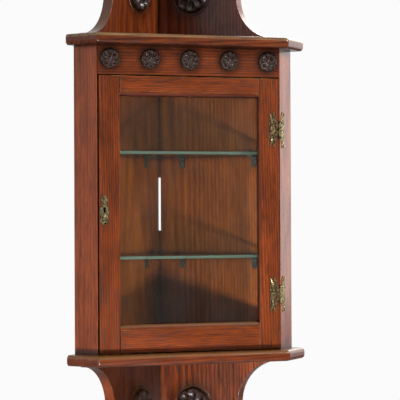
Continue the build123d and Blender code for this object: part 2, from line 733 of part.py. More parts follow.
for owner, frames, host in (
        ("door", door_leaf_frames, "door_right_stile"), ("case", case_leaf_frames, "right_side_panel")):
    hosts = [f"top_hinge_{owner}_leaf", f"bottom_hinge_{owner}_leaf", host]
    pieces[f"{owner}_leaf_screws"] = fasten(hosts, frames, leaf_screw, leaf_screw_hole)

# Lock, let into the back of the left stile
hole_through = stile_face * extrude(keyhole(fastener_clearance), lock_front - front_y, dir=(0, 0, -1))
pieces["door_left_stile"] = pieces["door_left_stile"] - lock_case_space() - lock_plate_space() - hole_through
pieces["lock_case"] = lock_case()
pieces["lock_back_plate"] = lock_plate_space()
pieces["lock_bolt"] = lock_bolt()
key_pin_length = front_y + door_thick - lock_front
key_pin_middle = (keyhole_x, (lock_front + front_y + door_thick) / 2, keyhole_z)
key_pin = Pos(*key_pin_middle) * (Rot(90, 0, 0) * Cylinder(key_pin_radius, key_pin_length))
key_pin_hole = Pos(*key_pin_middle) * (
    Rot(90, 0, 0) * Cylinder(key_pin_radius + fastener_clearance, key_pin_length))
pieces["lock_key_pin"] = key_pin
pieces["lock_back_plate"] = pieces["lock_back_plate"] - key_pin_hole
plate_screw_height = lock_height / 2 + lock_plate_lap / 2
plate_screw_frames = [
    frame_at(
        (door_left + lock_width * share, front_y + door_thick, keyhole_z + sign * plate_screw_height),
        (0, 1, 0))
    for share in (0.25, 0.75) for sign in (-1, 1)]
plate_screw = flush_fastener(small_screw_radius, small_screw_length, small_screw_head_radius, lock_wall / 2)
plate_screw_hole = flush_fastener(
    small_screw_radius + fastener_clearance, small_screw_length + fastener_clearance,
    small_screw_head_radius + fastener_clearance, lock_wall / 2)
pieces["lock_screws"] = fasten(
    ["lock_back_plate", "door_left_stile"], plate_screw_frames, plate_screw, plate_screw_hole)

# Escutcheon over the keyhole
plate = Pos(0, -escutcheon_drop) * escutcheon_outline() - keyhole()
plate = extrude(plate, escutcheon_thick, dir=(0, 0, 1))
pieces["escutcheon"] = stile_face * plate
escutcheon_pin_frames = [
    frame_at(
        (keyhole_x, front_y - escutcheon_thick, escutcheon_z + sign * escutcheon_half_height * 0.6),
        (0, -1, 0))
    for sign in (-1, 1)]
escutcheon_pin = round_fastener(pin_radius, pin_length, pin_head_radius, pin_head_height)
escutcheon_pin_hole = Pos(0, 0, -pin_length / 2) * Cylinder(
    pin_radius + fastener_clearance, pin_length + 2 * fastener_clearance)
pieces["escutcheon_pins"] = fasten(
    ["escutcheon", "door_left_stile"], escutcheon_pin_frames, escutcheon_pin, escutcheon_pin_hole)

# Nails through the top and bottom boards into the frieze and sides
nail = flush_fastener(nail_radius, nail_length, nail_head_radius, nail_head_thick)
nail_hole = flush_fastener(
    nail_radius + fastener_clearance, nail_length + fastener_clearance,
    nail_head_radius + fastener_clearance, nail_head_thick)
side_nails = [
    plan(wall_length - side_thick / 2, off, side)
    for side in (-1, 1) for off in (side_width * 0.2, side_width * 0.5)]
frieze_nails = [(share * front_width / 2, front_y + front_thick / 2) for share in (-0.75, 0, 0.75)]
top_frames = [
    frame_at((*place, ceiling_z + board_thick), (0, 0, 1), (1, 0, 0)) for place in side_nails + frieze_nails]
bottom_frames = [frame_at((*place, end_height), (0, 0, -1), (1, 0, 0)) for place in side_nails]
sides = ["left_side_panel", "right_side_panel"]
pieces["top_board_nails"] = fasten(["top_board", "frieze"] + sides, top_frames, nail, nail_hole)
pieces["bottom_board_nails"] = fasten(["bottom_board"] + sides, bottom_frames, nail, nail_hole)

# Nails through the left back board into the end of the right one
corner_nail_share = (-0.9, -0.6, -0.3, 0.3, 0.6, 0.9)
half_height = middle_z - foot_lip
corner_frames = [
    frame_at((*plan(back_thick / 2, 0, -1), middle_z + share * half_height), (-1, 1, 0))
    for share in corner_nail_share]
pieces["corner_nails"] = fasten(["left_back_board", "right_back_board"], corner_frames, nail, nail_hole)

# Screws through the back boards into the edges of the top and bottom boards
back_screw = flush_fastener(
    back_screw_radius, back_screw_length, back_screw_head_radius, back_screw_head_thick)
back_screw_hole = flush_fastener(
    back_screw_radius + fastener_clearance, back_screw_length + fastener_clearance,
    back_screw_head_radius + fastener_clearance, back_screw_head_thick)
board_middles = (end_height + board_thick / 2, ceiling_z + board_thick / 2)
back_screw_frames = [
    frame_at((*plan(wall_length * share, 0, side), height), (side, 1, 0))
    for height in board_middles for side in (-1, 1) for share in (0.3, 0.7)]
pieces["back_screws"] = fasten(
    ["left_back_board", "right_back_board", "top_board", "bottom_board"],
    back_screw_frames, back_screw, back_screw_hole)

# ---------------------------------------------------------------- files

os.makedirs("parts", exist_ok=True)
for name, shape in pieces.items():
    shape.label = name
    export_step(shape, f"parts/{name}.step")
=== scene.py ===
"""Hanging corner display cabinet: its finishes, carved and pressed detail, and a studio stage."""
from math import atan2, cos, hypot, pi, radians, sin

import bmesh
import bpy
from bpy.props import FloatProperty, FloatVectorProperty, IntProperty, PointerProperty
from mathutils import Matrix, Vector


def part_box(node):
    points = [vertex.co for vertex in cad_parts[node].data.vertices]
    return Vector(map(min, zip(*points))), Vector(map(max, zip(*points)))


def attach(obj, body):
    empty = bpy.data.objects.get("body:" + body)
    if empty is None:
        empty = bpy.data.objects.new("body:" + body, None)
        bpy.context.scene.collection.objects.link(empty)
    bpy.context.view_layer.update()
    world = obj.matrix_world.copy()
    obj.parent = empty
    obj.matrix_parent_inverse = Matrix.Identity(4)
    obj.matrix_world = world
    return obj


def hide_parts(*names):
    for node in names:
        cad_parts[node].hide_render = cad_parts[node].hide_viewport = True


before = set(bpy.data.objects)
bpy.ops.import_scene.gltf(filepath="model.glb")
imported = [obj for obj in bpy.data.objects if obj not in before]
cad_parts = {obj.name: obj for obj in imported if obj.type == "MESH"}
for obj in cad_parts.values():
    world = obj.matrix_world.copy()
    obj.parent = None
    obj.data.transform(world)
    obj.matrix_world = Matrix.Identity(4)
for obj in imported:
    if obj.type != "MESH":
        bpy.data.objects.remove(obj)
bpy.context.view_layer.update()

bl_info = {
    "name": "Corner Display Cabinet",
    "version": (1, 0, 0),
    "blender": (4, 5, 0),
    "location": "View3D > Sidebar > Cabinet",
    "description": "Finishes and details a hanging corner cabinet with a glazed door",
    "category": "Object",
}

MM = 0.001
UP = Vector((0, 0, 1))
FRONT = Vector((0, -1, 0))                        # out of the door and the frieze
OFF_RIGHT_WALL = Vector((-1, -1, 0)).normalized()
OFF_LEFT_WALL = Vector((1, -1, 0)).normalized()   # also out of the canted right side

LINING_TINT = (1.24, 1.68, 1.2)                   # on the stain inside the case: painted light, lighter and yellower there
MOULDING_SHADE_TINT = (0.6, 0.5, 0.8)                   # painted shade on the stain in the sloping faces of the door's moulding
SAPWOOD_X = (128 * MM, 134 * MM)                  # where the right back board turns to sapwood
PLAIN_WHITE = "#FBFBFB"                           # what the eye sees of the studio

SMOOTH_ANGLE = radians(30)                        # edges that turn by less are shaded round
LEAF_THICKNESS = 1.2 * MM                         # of a hinge leaf, without its knuckles
BEND_RADIUS = 1.5 * MM                            # of a shelf bracket
BEND_REACH = 2.5 * MM                             # the bend lies this near the seat and the top
BEND_LENGTH = 8 * MM                              # and runs on for more than this
SLOT_TURN = 2.4                                   # from one screw's slot to the next, in radians
BACKDROP = (0, 0.8, 0.9)                          # towards the white behind and above

# Where the camera stands, in metres, how far it is turned to the right, up and about its own
# axis, in degrees, and its lens, in millimetres.
CAMERA_PLACE = (-0.7534, -2.7664, 0.4551)
CAMERA_TURN = (16.92, 0.32, -0.26)
CAMERA_LENS = 136.66

# Raised work on a hinge leaf, above its middle and mirrored below: millimetres out from the pin's
# axis and up from the leaf's middle, and a radius for a bead.
LEAF_VEINS = (
    ((15.3, 9.8), (15.6, 12.2), (15.2, 14.6)),
    ((16.2, 20.6), (17.1, 23.5), (18.4, 26.5), (19.8, 28.9)),
    ((12.0, 26.4), (12.1, 28.2), (12.3, 30.2)))
LEAF_BEADS = ((11.3, 17.3, 0.8), (16.2, 2.9, 0.9))
LEAF_MIDDLE_BEADS = ((7.6, 0, 0.8), (10.4, 0, 1.1), (13.6, 0, 1.3), (16.6, 0, 0.9))

# Raised work on the escutcheon, right of its middle and mirrored left, in millimetres.
PLATE_VEINS = (
    ((4.6, 1.8), (4.9, -0.6), (5.4, -2.8)),
    ((1.2, -8.4), (2.4, -10.0), (4.6, -11.6)))
PLATE_BEADS = ((3.2, 18.0, 0.7), (5.3, -19.4, 0.8))
PLATE_MIDDLE_BEADS = ((0, 21.6, 1.2), (0, 10.4, 0.8), (0, 7.6, 0.7), (0, -10.6, 0.9), (0, -20.4, 1.2))


# ---------------------------------------------------------------- colours and nodes

def linear(hex_code):
    """sRGB hex colour as linear red, green and blue."""
    channels = [int(hex_code[start:start + 2], 16) / 255 for start in (1, 3, 5)]
    return [c / 12.92 if c <= 0.04045 else ((c + 0.055) / 1.055) ** 2.4 for c in channels]


def rgba(colour):
    """A colour with full alpha, as colour sockets take it. It may be written as sRGB hex."""
    return (*(linear(colour) if isinstance(colour, str) else colour), 1.0)


def add_node(tree, kind, sockets=None, **options):
    """One node with its options. Each of its sockets is given a plain value or another node's output."""
    node = tree.nodes.new(kind)
    for name, value in options.items():
        setattr(node, name, value)
    for socket, value in (sockets or {}).items():
        if isinstance(value, bpy.types.NodeSocket):
            tree.links.new(value, node.inputs[socket])
        else:
            node.inputs[socket].default_value = value
    return node


def new_material(name):
    """A new node material with its tree and its Principled shader."""
    material = bpy.data.materials.new(name)
    material.use_nodes = True
    tree = material.node_tree
    return material, tree, tree.nodes["Principled BSDF"]


def finish_nodes(names, material):
    """Give CAD nodes a material in every slot."""
    for name in names:
        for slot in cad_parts[name].material_slots:
            slot.material = material


def settings():
    """The cabinet's settings on the scene."""
    return bpy.context.scene.corner_cabinet


# ---------------------------------------------------------------- settings

class OakSettings(bpy.types.PropertyGroup):
    """Stained oak"""
    early_colour: FloatVectorProperty(
        name="Early wood", description="Open-grained early wood, which takes most stain",
        subtype="COLOR", size=3, min=0, max=1, default=linear("#6E2C12"))
    late_colour: FloatVectorProperty(
        name="Late wood", description="Dense late wood between the pores",
        subtype="COLOR", size=3, min=0, max=1, default=linear("#92461E"))
    pore_colour: FloatVectorProperty(
        name="Pores", description="Stain and dust held in the open pores",
        subtype="COLOR", size=3, min=0, max=1, default=linear("#34150C"))
    # Also paints level tops and the rounded upper edge paler, as painted light from above besides wear.
    worn_and_lit_colour: FloatVectorProperty(
        name="Worn arris", description="Paler wood where the stain is rubbed off the arrises",
        subtype="COLOR", size=3, min=0, max=1, default=linear("#B08A4C"))
    ring_spacing: FloatProperty(
        name="Ring spacing", description="Width of one year's growth",
        subtype="DISTANCE", unit="LENGTH", min=0.0005, default=2.6 * MM)
    fibre_width: FloatProperty(
        name="Fibre width", description="Width of the streaks that the fibres make",
        subtype="DISTANCE", unit="LENGTH", min=0.0001, default=2.0 * MM)
    pore_width: FloatProperty(
        name="Pore width", description="Width of one pore streak",
        subtype="DISTANCE", unit="LENGTH", min=0.0001, default=1.2 * MM)
    pore_length: FloatProperty(
        name="Pore length", description="Length of one pore streak along the grain",
        subtype="DISTANCE", unit="LENGTH", min=0.001, default=20 * MM)
    # The darkening that spreads from corners is painted shade, where grime also gathers.
    shade_and_grime_reach: FloatProperty(
        name="Grime", description="How far old grime spreads from a corner",
        subtype="DISTANCE", unit="LENGTH", min=0.001, default=12 * MM)
    wear_width: FloatProperty(
        name="Wear", description="Width of the rubbed line along an arris",
        subtype="DISTANCE", unit="LENGTH", min=0.0001, default=1.1 * MM)


class CarvingSettings(bpy.types.PropertyGroup):
    """Carved rosettes"""
    petals: IntProperty(
        name="Petals", description="Hollow petals round the boss", min=3, default=8)
    boss: FloatProperty(
        name="Boss", description="Boss radius as a share of the rosette's", subtype="FACTOR",
        min=0.05, max=0.5, default=0.21)
    petal_depth: FloatProperty(
        name="Petal depth", description="Depth of a petal as a share of the carving's height",
        subtype="FACTOR", min=0, max=1, default=0.85)
    notch_depth: FloatProperty(
        name="Notch depth", description="Depth of a rim notch as a share of the carving's height",
        subtype="FACTOR", min=0, max=1, default=0.8)


class BrassSettings(bpy.types.PropertyGroup):
    """Pressed brass"""
    border: FloatProperty(
        name="Border", description="Width of the raised border of a leaf or plate",
        subtype="DISTANCE", unit="LENGTH", min=0.0001, default=0.42 * MM)
    field_depth: FloatProperty(
        name="Field depth", description="How far the field is pressed below the border",
        subtype="DISTANCE", unit="LENGTH", min=0, default=0.45 * MM)
    vein_radius: FloatProperty(
        name="Vein", description="Radius of a raised vein", subtype="DISTANCE", unit="LENGTH",
        min=0.0001, default=0.42 * MM)


class StageSettings(bpy.types.PropertyGroup):
    """Studio stage"""
    floor_colour: FloatVectorProperty(
        name="Floor", description="Pale studio floor",
        subtype="COLOR", size=3, min=0, max=1, default=linear("#E9E9E9"))
    floor_drop: FloatProperty(
        name="Floor drop", description="Height at which the cabinet hangs above the floor",
        subtype="DISTANCE", unit="LENGTH", min=0, default=0.9)
    low_power: FloatProperty(
        name="Low light", description="Softbox low in front and a little to the left",
        subtype="POWER", unit="POWER", min=0, default=20.5)
    high_power: FloatProperty(
        name="High light", description="Softbox above, to the right and in front",
        subtype="POWER", unit="POWER", min=0, default=17)
    side_power: FloatProperty(
        name="Side light", description="White panel on the right, which the canted side reflects",
        subtype="POWER", unit="POWER", min=0, default=5)
    back_power: FloatProperty(
        name="Back light", description="White panel behind, which rims the right-hand edges",
        subtype="POWER", unit="POWER", min=0, default=22)
    left_power: FloatProperty(
        name="Left light", description="White panel on the left, which fills the canted left side",
        subtype="POWER", unit="POWER", min=0, default=3)
    ambient: FloatProperty(
        name="Ambient", description="Strength of the even light from all round",
        min=0, default=0.19)
    dark_front: FloatProperty(
        name="Unlit front", description="Strength of the studio in front, as gloss and glass show it",
        min=0, default=0.06)


class CabinetSettings(bpy.types.PropertyGroup):
    """Everything that a user would change"""
    oak: PointerProperty(type=OakSettings)
    carving: PointerProperty(type=CarvingSettings)
    brass: PointerProperty(type=BrassSettings)
    stage: PointerProperty(type=StageSettings)


# ---------------------------------------------------------------- shapes

def reach(name, direction):
    """Least and greatest distance of a CAD node's points along a direction."""
    along = [vertex.co.dot(direction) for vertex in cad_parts[name].data.vertices]
    return min(along), max(along)


def face_frame(origin, outward):
    """Frame with Z along the outward direction and Y upright."""
    across = UP.cross(outward)
    turned = Matrix((across, UP, outward)).transposed().to_4x4()
    return Matrix.Translation(origin) @ turned


def merged_copy(name):
    """A CAD node's mesh as a bmesh, with its doubled points merged."""
    shape = bmesh.new()
    shape.from_mesh(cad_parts[name].data)
    bmesh.ops.remove_doubles(shape, verts=shape.verts, dist=1e-6)
    return shape


def make_piece(name, shape, material, body, replaced):
    """Turn a bmesh into a piece that rides on a body and stands for CAD nodes."""
    bmesh.ops.recalc_face_normals(shape, faces=shape.faces)
    for face in shape.faces:
        face.smooth = True
    for edge in shape.edges:
        edge.smooth = len(edge.link_faces) == 2 and edge.calc_face_angle() < SMOOTH_ANGLE
    mesh = bpy.data.meshes.new(name)
    shape.to_mesh(mesh)
    shape.free()
    mesh.materials.append(material)
    piece = bpy.data.objects.new(name, mesh)
    bpy.context.collection.objects.link(piece)
    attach(piece, body)
    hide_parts(*replaced)


def shells(name):
    """The points of each separate shell of a CAD node."""
    shape = merged_copy(name)
    unseen = set(shape.verts)
    groups = []
    while unseen:
        reached = [unseen.pop()]
        group = []
        while reached:
            vertex = reached.pop()
            group.append(vertex.co.copy())
            for edge in vertex.link_edges:
                other = edge.other_vert(vertex)
                if other in unseen:
                    unseen.remove(other)
                    reached.append(other)
        groups.append(group)
    shape.free()
    return groups


def carve_rosette(shape, radius, back, crown, depth):
    """Chip-carved flower about the Z axis: a turned blank, then petals, rim notches and a boss.

    back is its lowest height, crown its highest, and depth the height of the carving.
    """
    carving = settings().carving
    petals, boss = carving.petals, carving.boss
    first, last = boss + 0.05, 0.88                # where the petals start and end
    dish = crown - 0.45 * depth
    steps_per_petal = 16
    petal_side, notch_side = 0.5, 0.75             # from a petal's middle, at 0, to a rim notch's, at 1
    notch_width = 0.55

    rings = [boss * share for share in (0, 0.4, 0.7, 0.9, 1)]
    rings += [first + (last - first) * number / 14 for number in range(15)]
    rings += [last + (1 - last) * number / 4 for number in range(1, 5)]
    profile = [shape.verts.new((ring * radius, 0, crown)) for ring in rings]
    profile.append(shape.verts.new((radius, 0, back)))
    profile.append(shape.verts.new((0, 0, back)))
    edges = [shape.edges.new(pair) for pair in zip(profile, profile[1:])]
    bmesh.ops.spin(
        shape, geom=profile + edges, cent=(0, 0, 0), axis=(0, 0, 1), angle=2 * pi,
        steps=petals * steps_per_petal, use_merge=True)
    bmesh.ops.remove_doubles(shape, verts=shape.verts, dist=1e-7)

    for vertex in shape.verts:
        share = hypot(vertex.co.x, vertex.co.y) / radius
        if vertex.co.z < crown - 1e-7 or share == 0 and vertex.co.z < crown:
            continue
        turn = atan2(vertex.co.y, vertex.co.x) * petals / (2 * pi)
        side = turn - round(turn)
        step = 2 * abs(side)

        # Ring lines bunch along the petals' and notches' edges, so that those stay crisp.
        along = min(max((share - first) / (last - first), 0), 1)
        petal_edge = 0.95 * sin(pi * along) ** 0.6
        notch = notch_width * min(max((share - 0.7) / 0.3, 0), 1)
        if step < petal_side:
            across = petal_edge * step / petal_side
        elif step < notch_side:
            across = petal_edge + (1 - notch - petal_edge) * (step - petal_side) / 0.25
        else:
            across = 1 - notch + notch * (step - notch_side) / 0.25

        if share <= boss:
            height = dish + 0.5 * depth * (1 - (share / boss) ** 2) ** 0.5
        elif share <= last:
            height = dish + (crown - dish) * (share - boss) / (last - boss)
        else:
            height = crown - 0.7 * depth * ((share - last) / (1 - last)) ** 1.5
        if step < petal_side and petal_edge > 0:
            bowl = sin(pi * along) ** 0.8 * (0.6 + 0.4 * along)
            height -= carving.petal_depth * depth * bowl * (1 - (step / petal_side) ** 1.3)
        if step > notch_side and notch > 0:
            height -= carving.notch_depth * depth * notch / notch_width * (step - notch_side) / 0.25

        angle = (round(turn) + (across / 2 if side > 0 else -across / 2)) * 2 * pi / petals
        vertex.co = Vector((
            share * radius * cos(angle), share * radius * sin(angle), max(height, back)))


def press_field(shape, outward):
    """Press a plate's field below a raised border that runs round its outline and its holes."""
    brass = settings().brass
    levels = {}
    for face in shape.faces:
        if face.normal.dot(outward) > 0.999:
            level = round(face.calc_center_median().dot(outward) / (0.05 * MM))
            levels.setdefault(level, []).append(face)
    field = max(levels.values(), key=lambda faces: sum(face.calc_area() for face in faces))
    for thickness, depth in ((brass.border, 0), (brass.field_depth / 6, -brass.field_depth)):
        bmesh.ops.inset_region(
            shape, faces=field, thickness=thickness, depth=depth, use_boundary=True,
            use_even_offset=False)


def raised_line(points, radius, matrix):
    """Mesh of a smooth round line through points, thinning to nothing at both ends."""
    curve = bpy.data.curves.new("line", "CURVE")
    curve.dimensions = "3D"
    curve.bevel_depth = radius
    curve.bevel_resolution = 2
    curve.resolution_u = 6
    spline = curve.splines.new("NURBS")
    spline.points.add(len(points) - 1)
    for number, (control, point) in enumerate(zip(spline.points, points)):
        control.co = (*(matrix @ Vector(point)), 1)
        control.radius = 0.35 if number in (0, len(points) - 1) else 1
    spline.order_u = 3
    spline.use_endpoint_u = True
    holder = bpy.data.objects.new("line", curve)
    mesh = bpy.data.meshes.new_from_object(holder)
    bpy.data.objects.remove(holder)
    bpy.data.curves.remove(curve)
    return mesh


def add_line(shape, matrix, points):
    """Raised vein through points in the plate's frame."""
    mesh = raised_line(points, settings().brass.vein_radius, matrix)
    shape.from_mesh(mesh)
    bpy.data.meshes.remove(mesh)


def add_bead(shape, matrix, point, radius):
    """Small round bead, half sunk."""
    verts = bmesh.ops.create_uvsphere(shape, u_segments=12, v_segments=8, radius=radius)["verts"]
    bmesh.ops.transform(shape, matrix=matrix @ Matrix.Translation(point), verts=verts)


def add_relief(shape, matrix, height, mirrored, veins, beads, middle_beads):
    """Veins and beads on a plate's field, each with its mirror image, and beads on its middle line.

    Their places and radii are in millimetres, height is the field's, and mirrored is the axis, X or
    Y, whose sign the image changes.
    """
    for sign in (-1, 1):
        across, up = (sign, 1) if mirrored == "X" else (1, sign)
        for vein in veins:
            add_line(shape, matrix, [(across * x * MM, up * y * MM, height) for x, y in vein])
        for x, y, radius in beads:
            add_bead(shape, matrix, (across * x * MM, up * y * MM, height), radius * MM)
    for x, y, radius in middle_beads:
        add_bead(shape, matrix, (x * MM, y * MM, height), radius * MM)


def slotted_screw(shape, matrix, radius, height, shank_radius, length, turn):
    """Domed screw with a slot, its seat at Z = 0."""
    slot_width, slot_depth = 0.28 * radius, 0.55 * height
    head = bmesh.ops.create_uvsphere(shape, u_segments=24, v_segments=14, radius=radius)["verts"]
    bmesh.ops.scale(shape, vec=(1, 1, height / radius), verts=head)
    faces = list({face for vertex in head for face in vertex.link_faces})
    edges = list({edge for vertex in head for edge in vertex.link_edges})
    kept = bmesh.ops.bisect_plane(
        shape, geom=head + edges + faces, plane_co=(0, 0, 0), plane_no=(0, 0, 1),
        clear_inner=True)["geom"]
    for sign in (-1, 1):
        kept = bmesh.ops.bisect_plane(
            shape, geom=kept, plane_co=(sign * slot_width / 2, 0, 0), plane_no=(1, 0, 0))["geom"]
    kept = [item for item in kept if item.is_valid]
    strip = [
        item for item in kept
        if isinstance(item, bmesh.types.BMFace) and abs(item.calc_center_median().x) < slot_width / 2]
    floor = bmesh.ops.extrude_face_region(shape, geom=strip)["geom"]
    bmesh.ops.delete(shape, geom=strip, context="FACES")
    floor_points = [item for item in floor if isinstance(item, bmesh.types.BMVert)]
    for vertex in floor_points:
        vertex.co.z = min(vertex.co.z, height - slot_depth)
    shank = bmesh.ops.create_cone(
        shape, cap_ends=True, segments=16, radius1=shank_radius, radius2=shank_radius,
        depth=length)["verts"]
    bmesh.ops.translate(shape, vec=(0, 0, -length / 2), verts=shank)
    placed = [item for item in kept if item.is_valid and isinstance(item, bmesh.types.BMVert)]
    placed = list(set(placed + floor_points + shank))
    bmesh.ops.transform(shape, matrix=matrix @ Matrix.Rotation(turn, 4, "Z"), verts=placed)


# ---------------------------------------------------------------- materials

def arris_wear(tree, width):
    """How near the surface is to an arris, from 0 to 1 at the arris itself."""
    rounded = add_node(tree, "ShaderNodeBevel", {"Radius": width}, samples=6).outputs["Normal"]
    flat = add_node(tree, "ShaderNodeNewGeometry").outputs["Normal"]
    turned = add_node(
        tree, "ShaderNodeVectorMath", {0: rounded, 1: flat}, operation="DOT_PRODUCT").outputs["Value"]
    return add_node(
        tree, "ShaderNodeMapRange", {"Value": turned, "From Min": 0.99, "From Max": 0.86}).outputs[0]


def near_rosettes(tree, coords, names):
    """1 beside the named rosettes, falling to 0 most of a radius away."""
    nearest = 0.0
    for name in names:
        low, high = [Vector(corner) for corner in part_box(name)]
        radius = (high.z - low.z) / 2
        away = add_node(
            tree, "ShaderNodeVectorMath", {0: coords, 1: (low + high) / 2},
            operation="DISTANCE").outputs["Value"]
        near = add_node(
            tree, "ShaderNodeMapRange",
            {"Value": away, "From Min": 1.85 * radius, "From Max": 0.9 * radius},
            interpolation_type="SMOOTHSTEP").outputs[0]
        nearest = add_node(
            tree, "ShaderNodeMath", {0: nearest, 1: near}, operation="MAXIMUM").outputs[0]
    return nearest


def growth_rings(tree, board, rings, figure):
    """One year's growth after another, from 0 to 1 and back, round the pith."""
    spacing = rings * settings().oak.ring_spacing

    # The rings waver along the tree, over some 60 mm of its width, and good years follow bad ones
    # every 11 mm or so. At a scale of 1, the rings of a wave texture are 2 pi / 20 apart.
    drawn_out = add_node(tree, "ShaderNodeMapping", {"Vector": board, "Scale": (1, 1, 0.08)}).outputs[0]
    waver = add_node(tree, "ShaderNodeTexNoise", {"Vector": drawn_out, "Scale": 16.0, "Detail": 3.0})
    phase = add_node(
        tree, "ShaderNodeMath", {0: waver.outputs["Fac"], 1: 18.0 * figure / rings},
        operation="MULTIPLY").outputs[0]
    years = add_node(tree, "ShaderNodeTexNoise", {"Vector": drawn_out, "Scale": 90.0, "Detail": 1.0})
    phase = add_node(
        tree, "ShaderNodeMath", {0: years.outputs["Fac"], 1: 5.0, 2: phase},
        operation="MULTIPLY_ADD").outputs[0]
    return add_node(
        tree, "ShaderNodeTexWave",
        {"Vector": drawn_out, "Phase Offset": phase, "Distortion": 0.0, "Scale": 2 * pi / (20 * spacing)},
        wave_type="RINGS", rings_direction="Z", wave_profile="SIN").outputs["Fac"]


def long_fibres(tree, board):
    """Streaks a couple of millimetres wide that run on for a hand's breadth."""
    drawn_out = add_node(tree, "ShaderNodeMapping", {"Vector": board, "Scale": (1, 1, 0.02)}).outputs[0]
    return add_node(
        tree, "ShaderNodeTexNoise",
        {"Vector": drawn_out, "Scale": 0.5 / settings().oak.fibre_width, "Detail": 4.0,
         "Roughness": 0.7}).outputs["Fac"]


def open_pores(tree, board, year, contrast):
    """Pores, thickest in the early wood, and drawn wider than real ones so that they show."""
    oak = settings().oak
    streak = oak.pore_width / oak.pore_length
    drawn_out = add_node(tree, "ShaderNodeMapping", {"Vector": board, "Scale": (1, 1, streak)}).outputs[0]
    pores = add_node(
        tree, "ShaderNodeTexNoise",
        {"Vector": drawn_out, "Scale": 0.6 / oak.pore_width, "Detail": 2.0,
         "Roughness": 0.6}).outputs["Fac"]
    pores = add_node(
        tree, "ShaderNodeMath", {0: year, 1: -0.08, 2: pores}, operation="MULTIPLY_ADD").outputs[0]
    return add_node(
        tree, "ShaderNodeMapRange",
        {"Value": pores, "From Min": 0.46, "From Max": 0.6,
         "To Max": 0.72 * contrast ** 0.5}).outputs[0]


def fine_pores(tree, board):
    """A finer layer of pores, about half a millimetre wide, as a factor on the colour."""
    drawn_out = add_node(tree, "ShaderNodeMapping", {"Vector": board, "Scale": (1, 1, 0.03)}).outputs[0]
    pores = add_node(tree, "ShaderNodeTexNoise", {"Vector": drawn_out, "Scale": 1800.0, "Detail": 1.0})
    return add_node(
        tree, "ShaderNodeMapRange",
        {"Value": pores.outputs["Fac"], "From Min": 0.5, "From Max": 0.62, "To Min": 1.03,
         "To Max": 0.76}).outputs[0]


def case_zones(tree, height, normal, lining):
    """A back board's face towards the room, what is above the case's floor, and what is inside."""
    floor, ceiling = [corner[2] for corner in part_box("left_side_panel")]
    above = add_node(tree, "ShaderNodeMath", {0: height, 1: floor}, operation="GREATER_THAN").outputs[0]
    below = add_node(tree, "ShaderNodeMath", {0: height, 1: ceiling}, operation="LESS_THAN").outputs[0]
    shown = add_node(
        tree, "ShaderNodeVectorMath", {0: normal, 1: lining}, operation="DOT_PRODUCT").outputs["Value"]
    shown = add_node(tree, "ShaderNodeMath", {0: shown, 1: 0.5}, operation="GREATER_THAN").outputs[0]
    inside = add_node(tree, "ShaderNodeMath", {0: above, 1: below}, operation="MULTIPLY").outputs[0]
    inside = add_node(tree, "ShaderNodeMath", {0: inside, 1: shown}, operation="MULTIPLY").outputs[0]
    return shown, above, inside


def zone_tones(tree, colour, across, zones, apron, crest):
    """Tones of a back board's apron and crest, its lining painted lighter as painted light, and its strip of
    sapwood.
    """
    shown, above, inside = zones
    outside = add_node(
        tree, "ShaderNodeMix", {0: above, 6: rgba([apron] * 3), 7: rgba(crest)},
        data_type="RGBA").outputs[2]
    darkened = add_node(
        tree, "ShaderNodeVectorMath", {0: colour, 1: outside}, operation="MULTIPLY").outputs[0]
    # Painted light: the lining inside the case is lighter and yellower.
    lit_lining = add_node(
        tree, "ShaderNodeVectorMath", {0: colour, 1: LINING_TINT}, operation="MULTIPLY").outputs[0]
    toned = add_node(
        tree, "ShaderNodeMix", {0: inside, 6: darkened, 7: lit_lining}, data_type="RGBA").outputs[2]
    colour = add_node(
        tree, "ShaderNodeMix", {0: shown, 6: colour, 7: toned}, data_type="RGBA").outputs[2]
    start, end = SAPWOOD_X
    sapwood = add_node(
        tree, "ShaderNodeMapRange",
        {"Value": across, "From Min": start, "From Max": end, "To Min": 1.0, "To Max": 1.4}).outputs[0]
    return add_node(
        tree, "ShaderNodeVectorMath", {0: colour, "Scale": sapwood}, operation="SCALE").outputs[0]


def end_grain_and_underside_shade(tree, colour, facing, grain):
    """End grain drinks more stain, and faces that look down are darkened as painted shade."""
    end_on = add_node(tree, "ShaderNodeMath", {0: facing[grain]}, operation="ABSOLUTE").outputs[0]
    stained = add_node(
        tree, "ShaderNodeMapRange",
        {"Value": end_on, "From Min": 0.6, "From Max": 0.98, "To Min": 1.0, "To Max": 0.6}).outputs[0]
    # Faces that look down are darker: painted shade.
    underside_shade = add_node(
        tree, "ShaderNodeMapRange",
        {"Value": facing["Z"], "From Min": -0.95, "From Max": -0.45, "To Min": 0.35}).outputs[0]
    stained = add_node(
        tree, "ShaderNodeMath", {0: stained, 1: underside_shade}, operation="MULTIPLY").outputs[0]
    return add_node(
        tree, "ShaderNodeVectorMath", {0: colour, "Scale": stained}, operation="SCALE").outputs[0]


def moulding_shade(tree, colour, depth, forward, plane):
    """Painted shade, purple-brown, on a moulding: on the sloping faces behind a plane."""
    sunk = add_node(tree, "ShaderNodeMath", {0: depth, 1: plane}, operation="GREATER_THAN").outputs[0]
    slope = add_node(
        tree, "ShaderNodeMapRange", {"Value": forward, "From Min": -0.995, "From Max": -0.97}).outputs[0]
    ahead = add_node(tree, "ShaderNodeMath", {0: forward, 1: -0.1}, operation="LESS_THAN").outputs[0]
    slope = add_node(tree, "ShaderNodeMath", {0: slope, 1: ahead}, operation="MULTIPLY").outputs[0]
    sunk = add_node(tree, "ShaderNodeMath", {0: sunk, 1: slope}, operation="MULTIPLY").outputs[0]
    in_shade = add_node(
        tree, "ShaderNodeVectorMath", {0: colour, 1: MOULDING_SHADE_TINT}, operation="MULTIPLY").outputs[0]
    return add_node(
        tree, "ShaderNodeMix", {0: sunk, 6: colour, 7: in_shade}, data_type="RGBA").outputs[2]


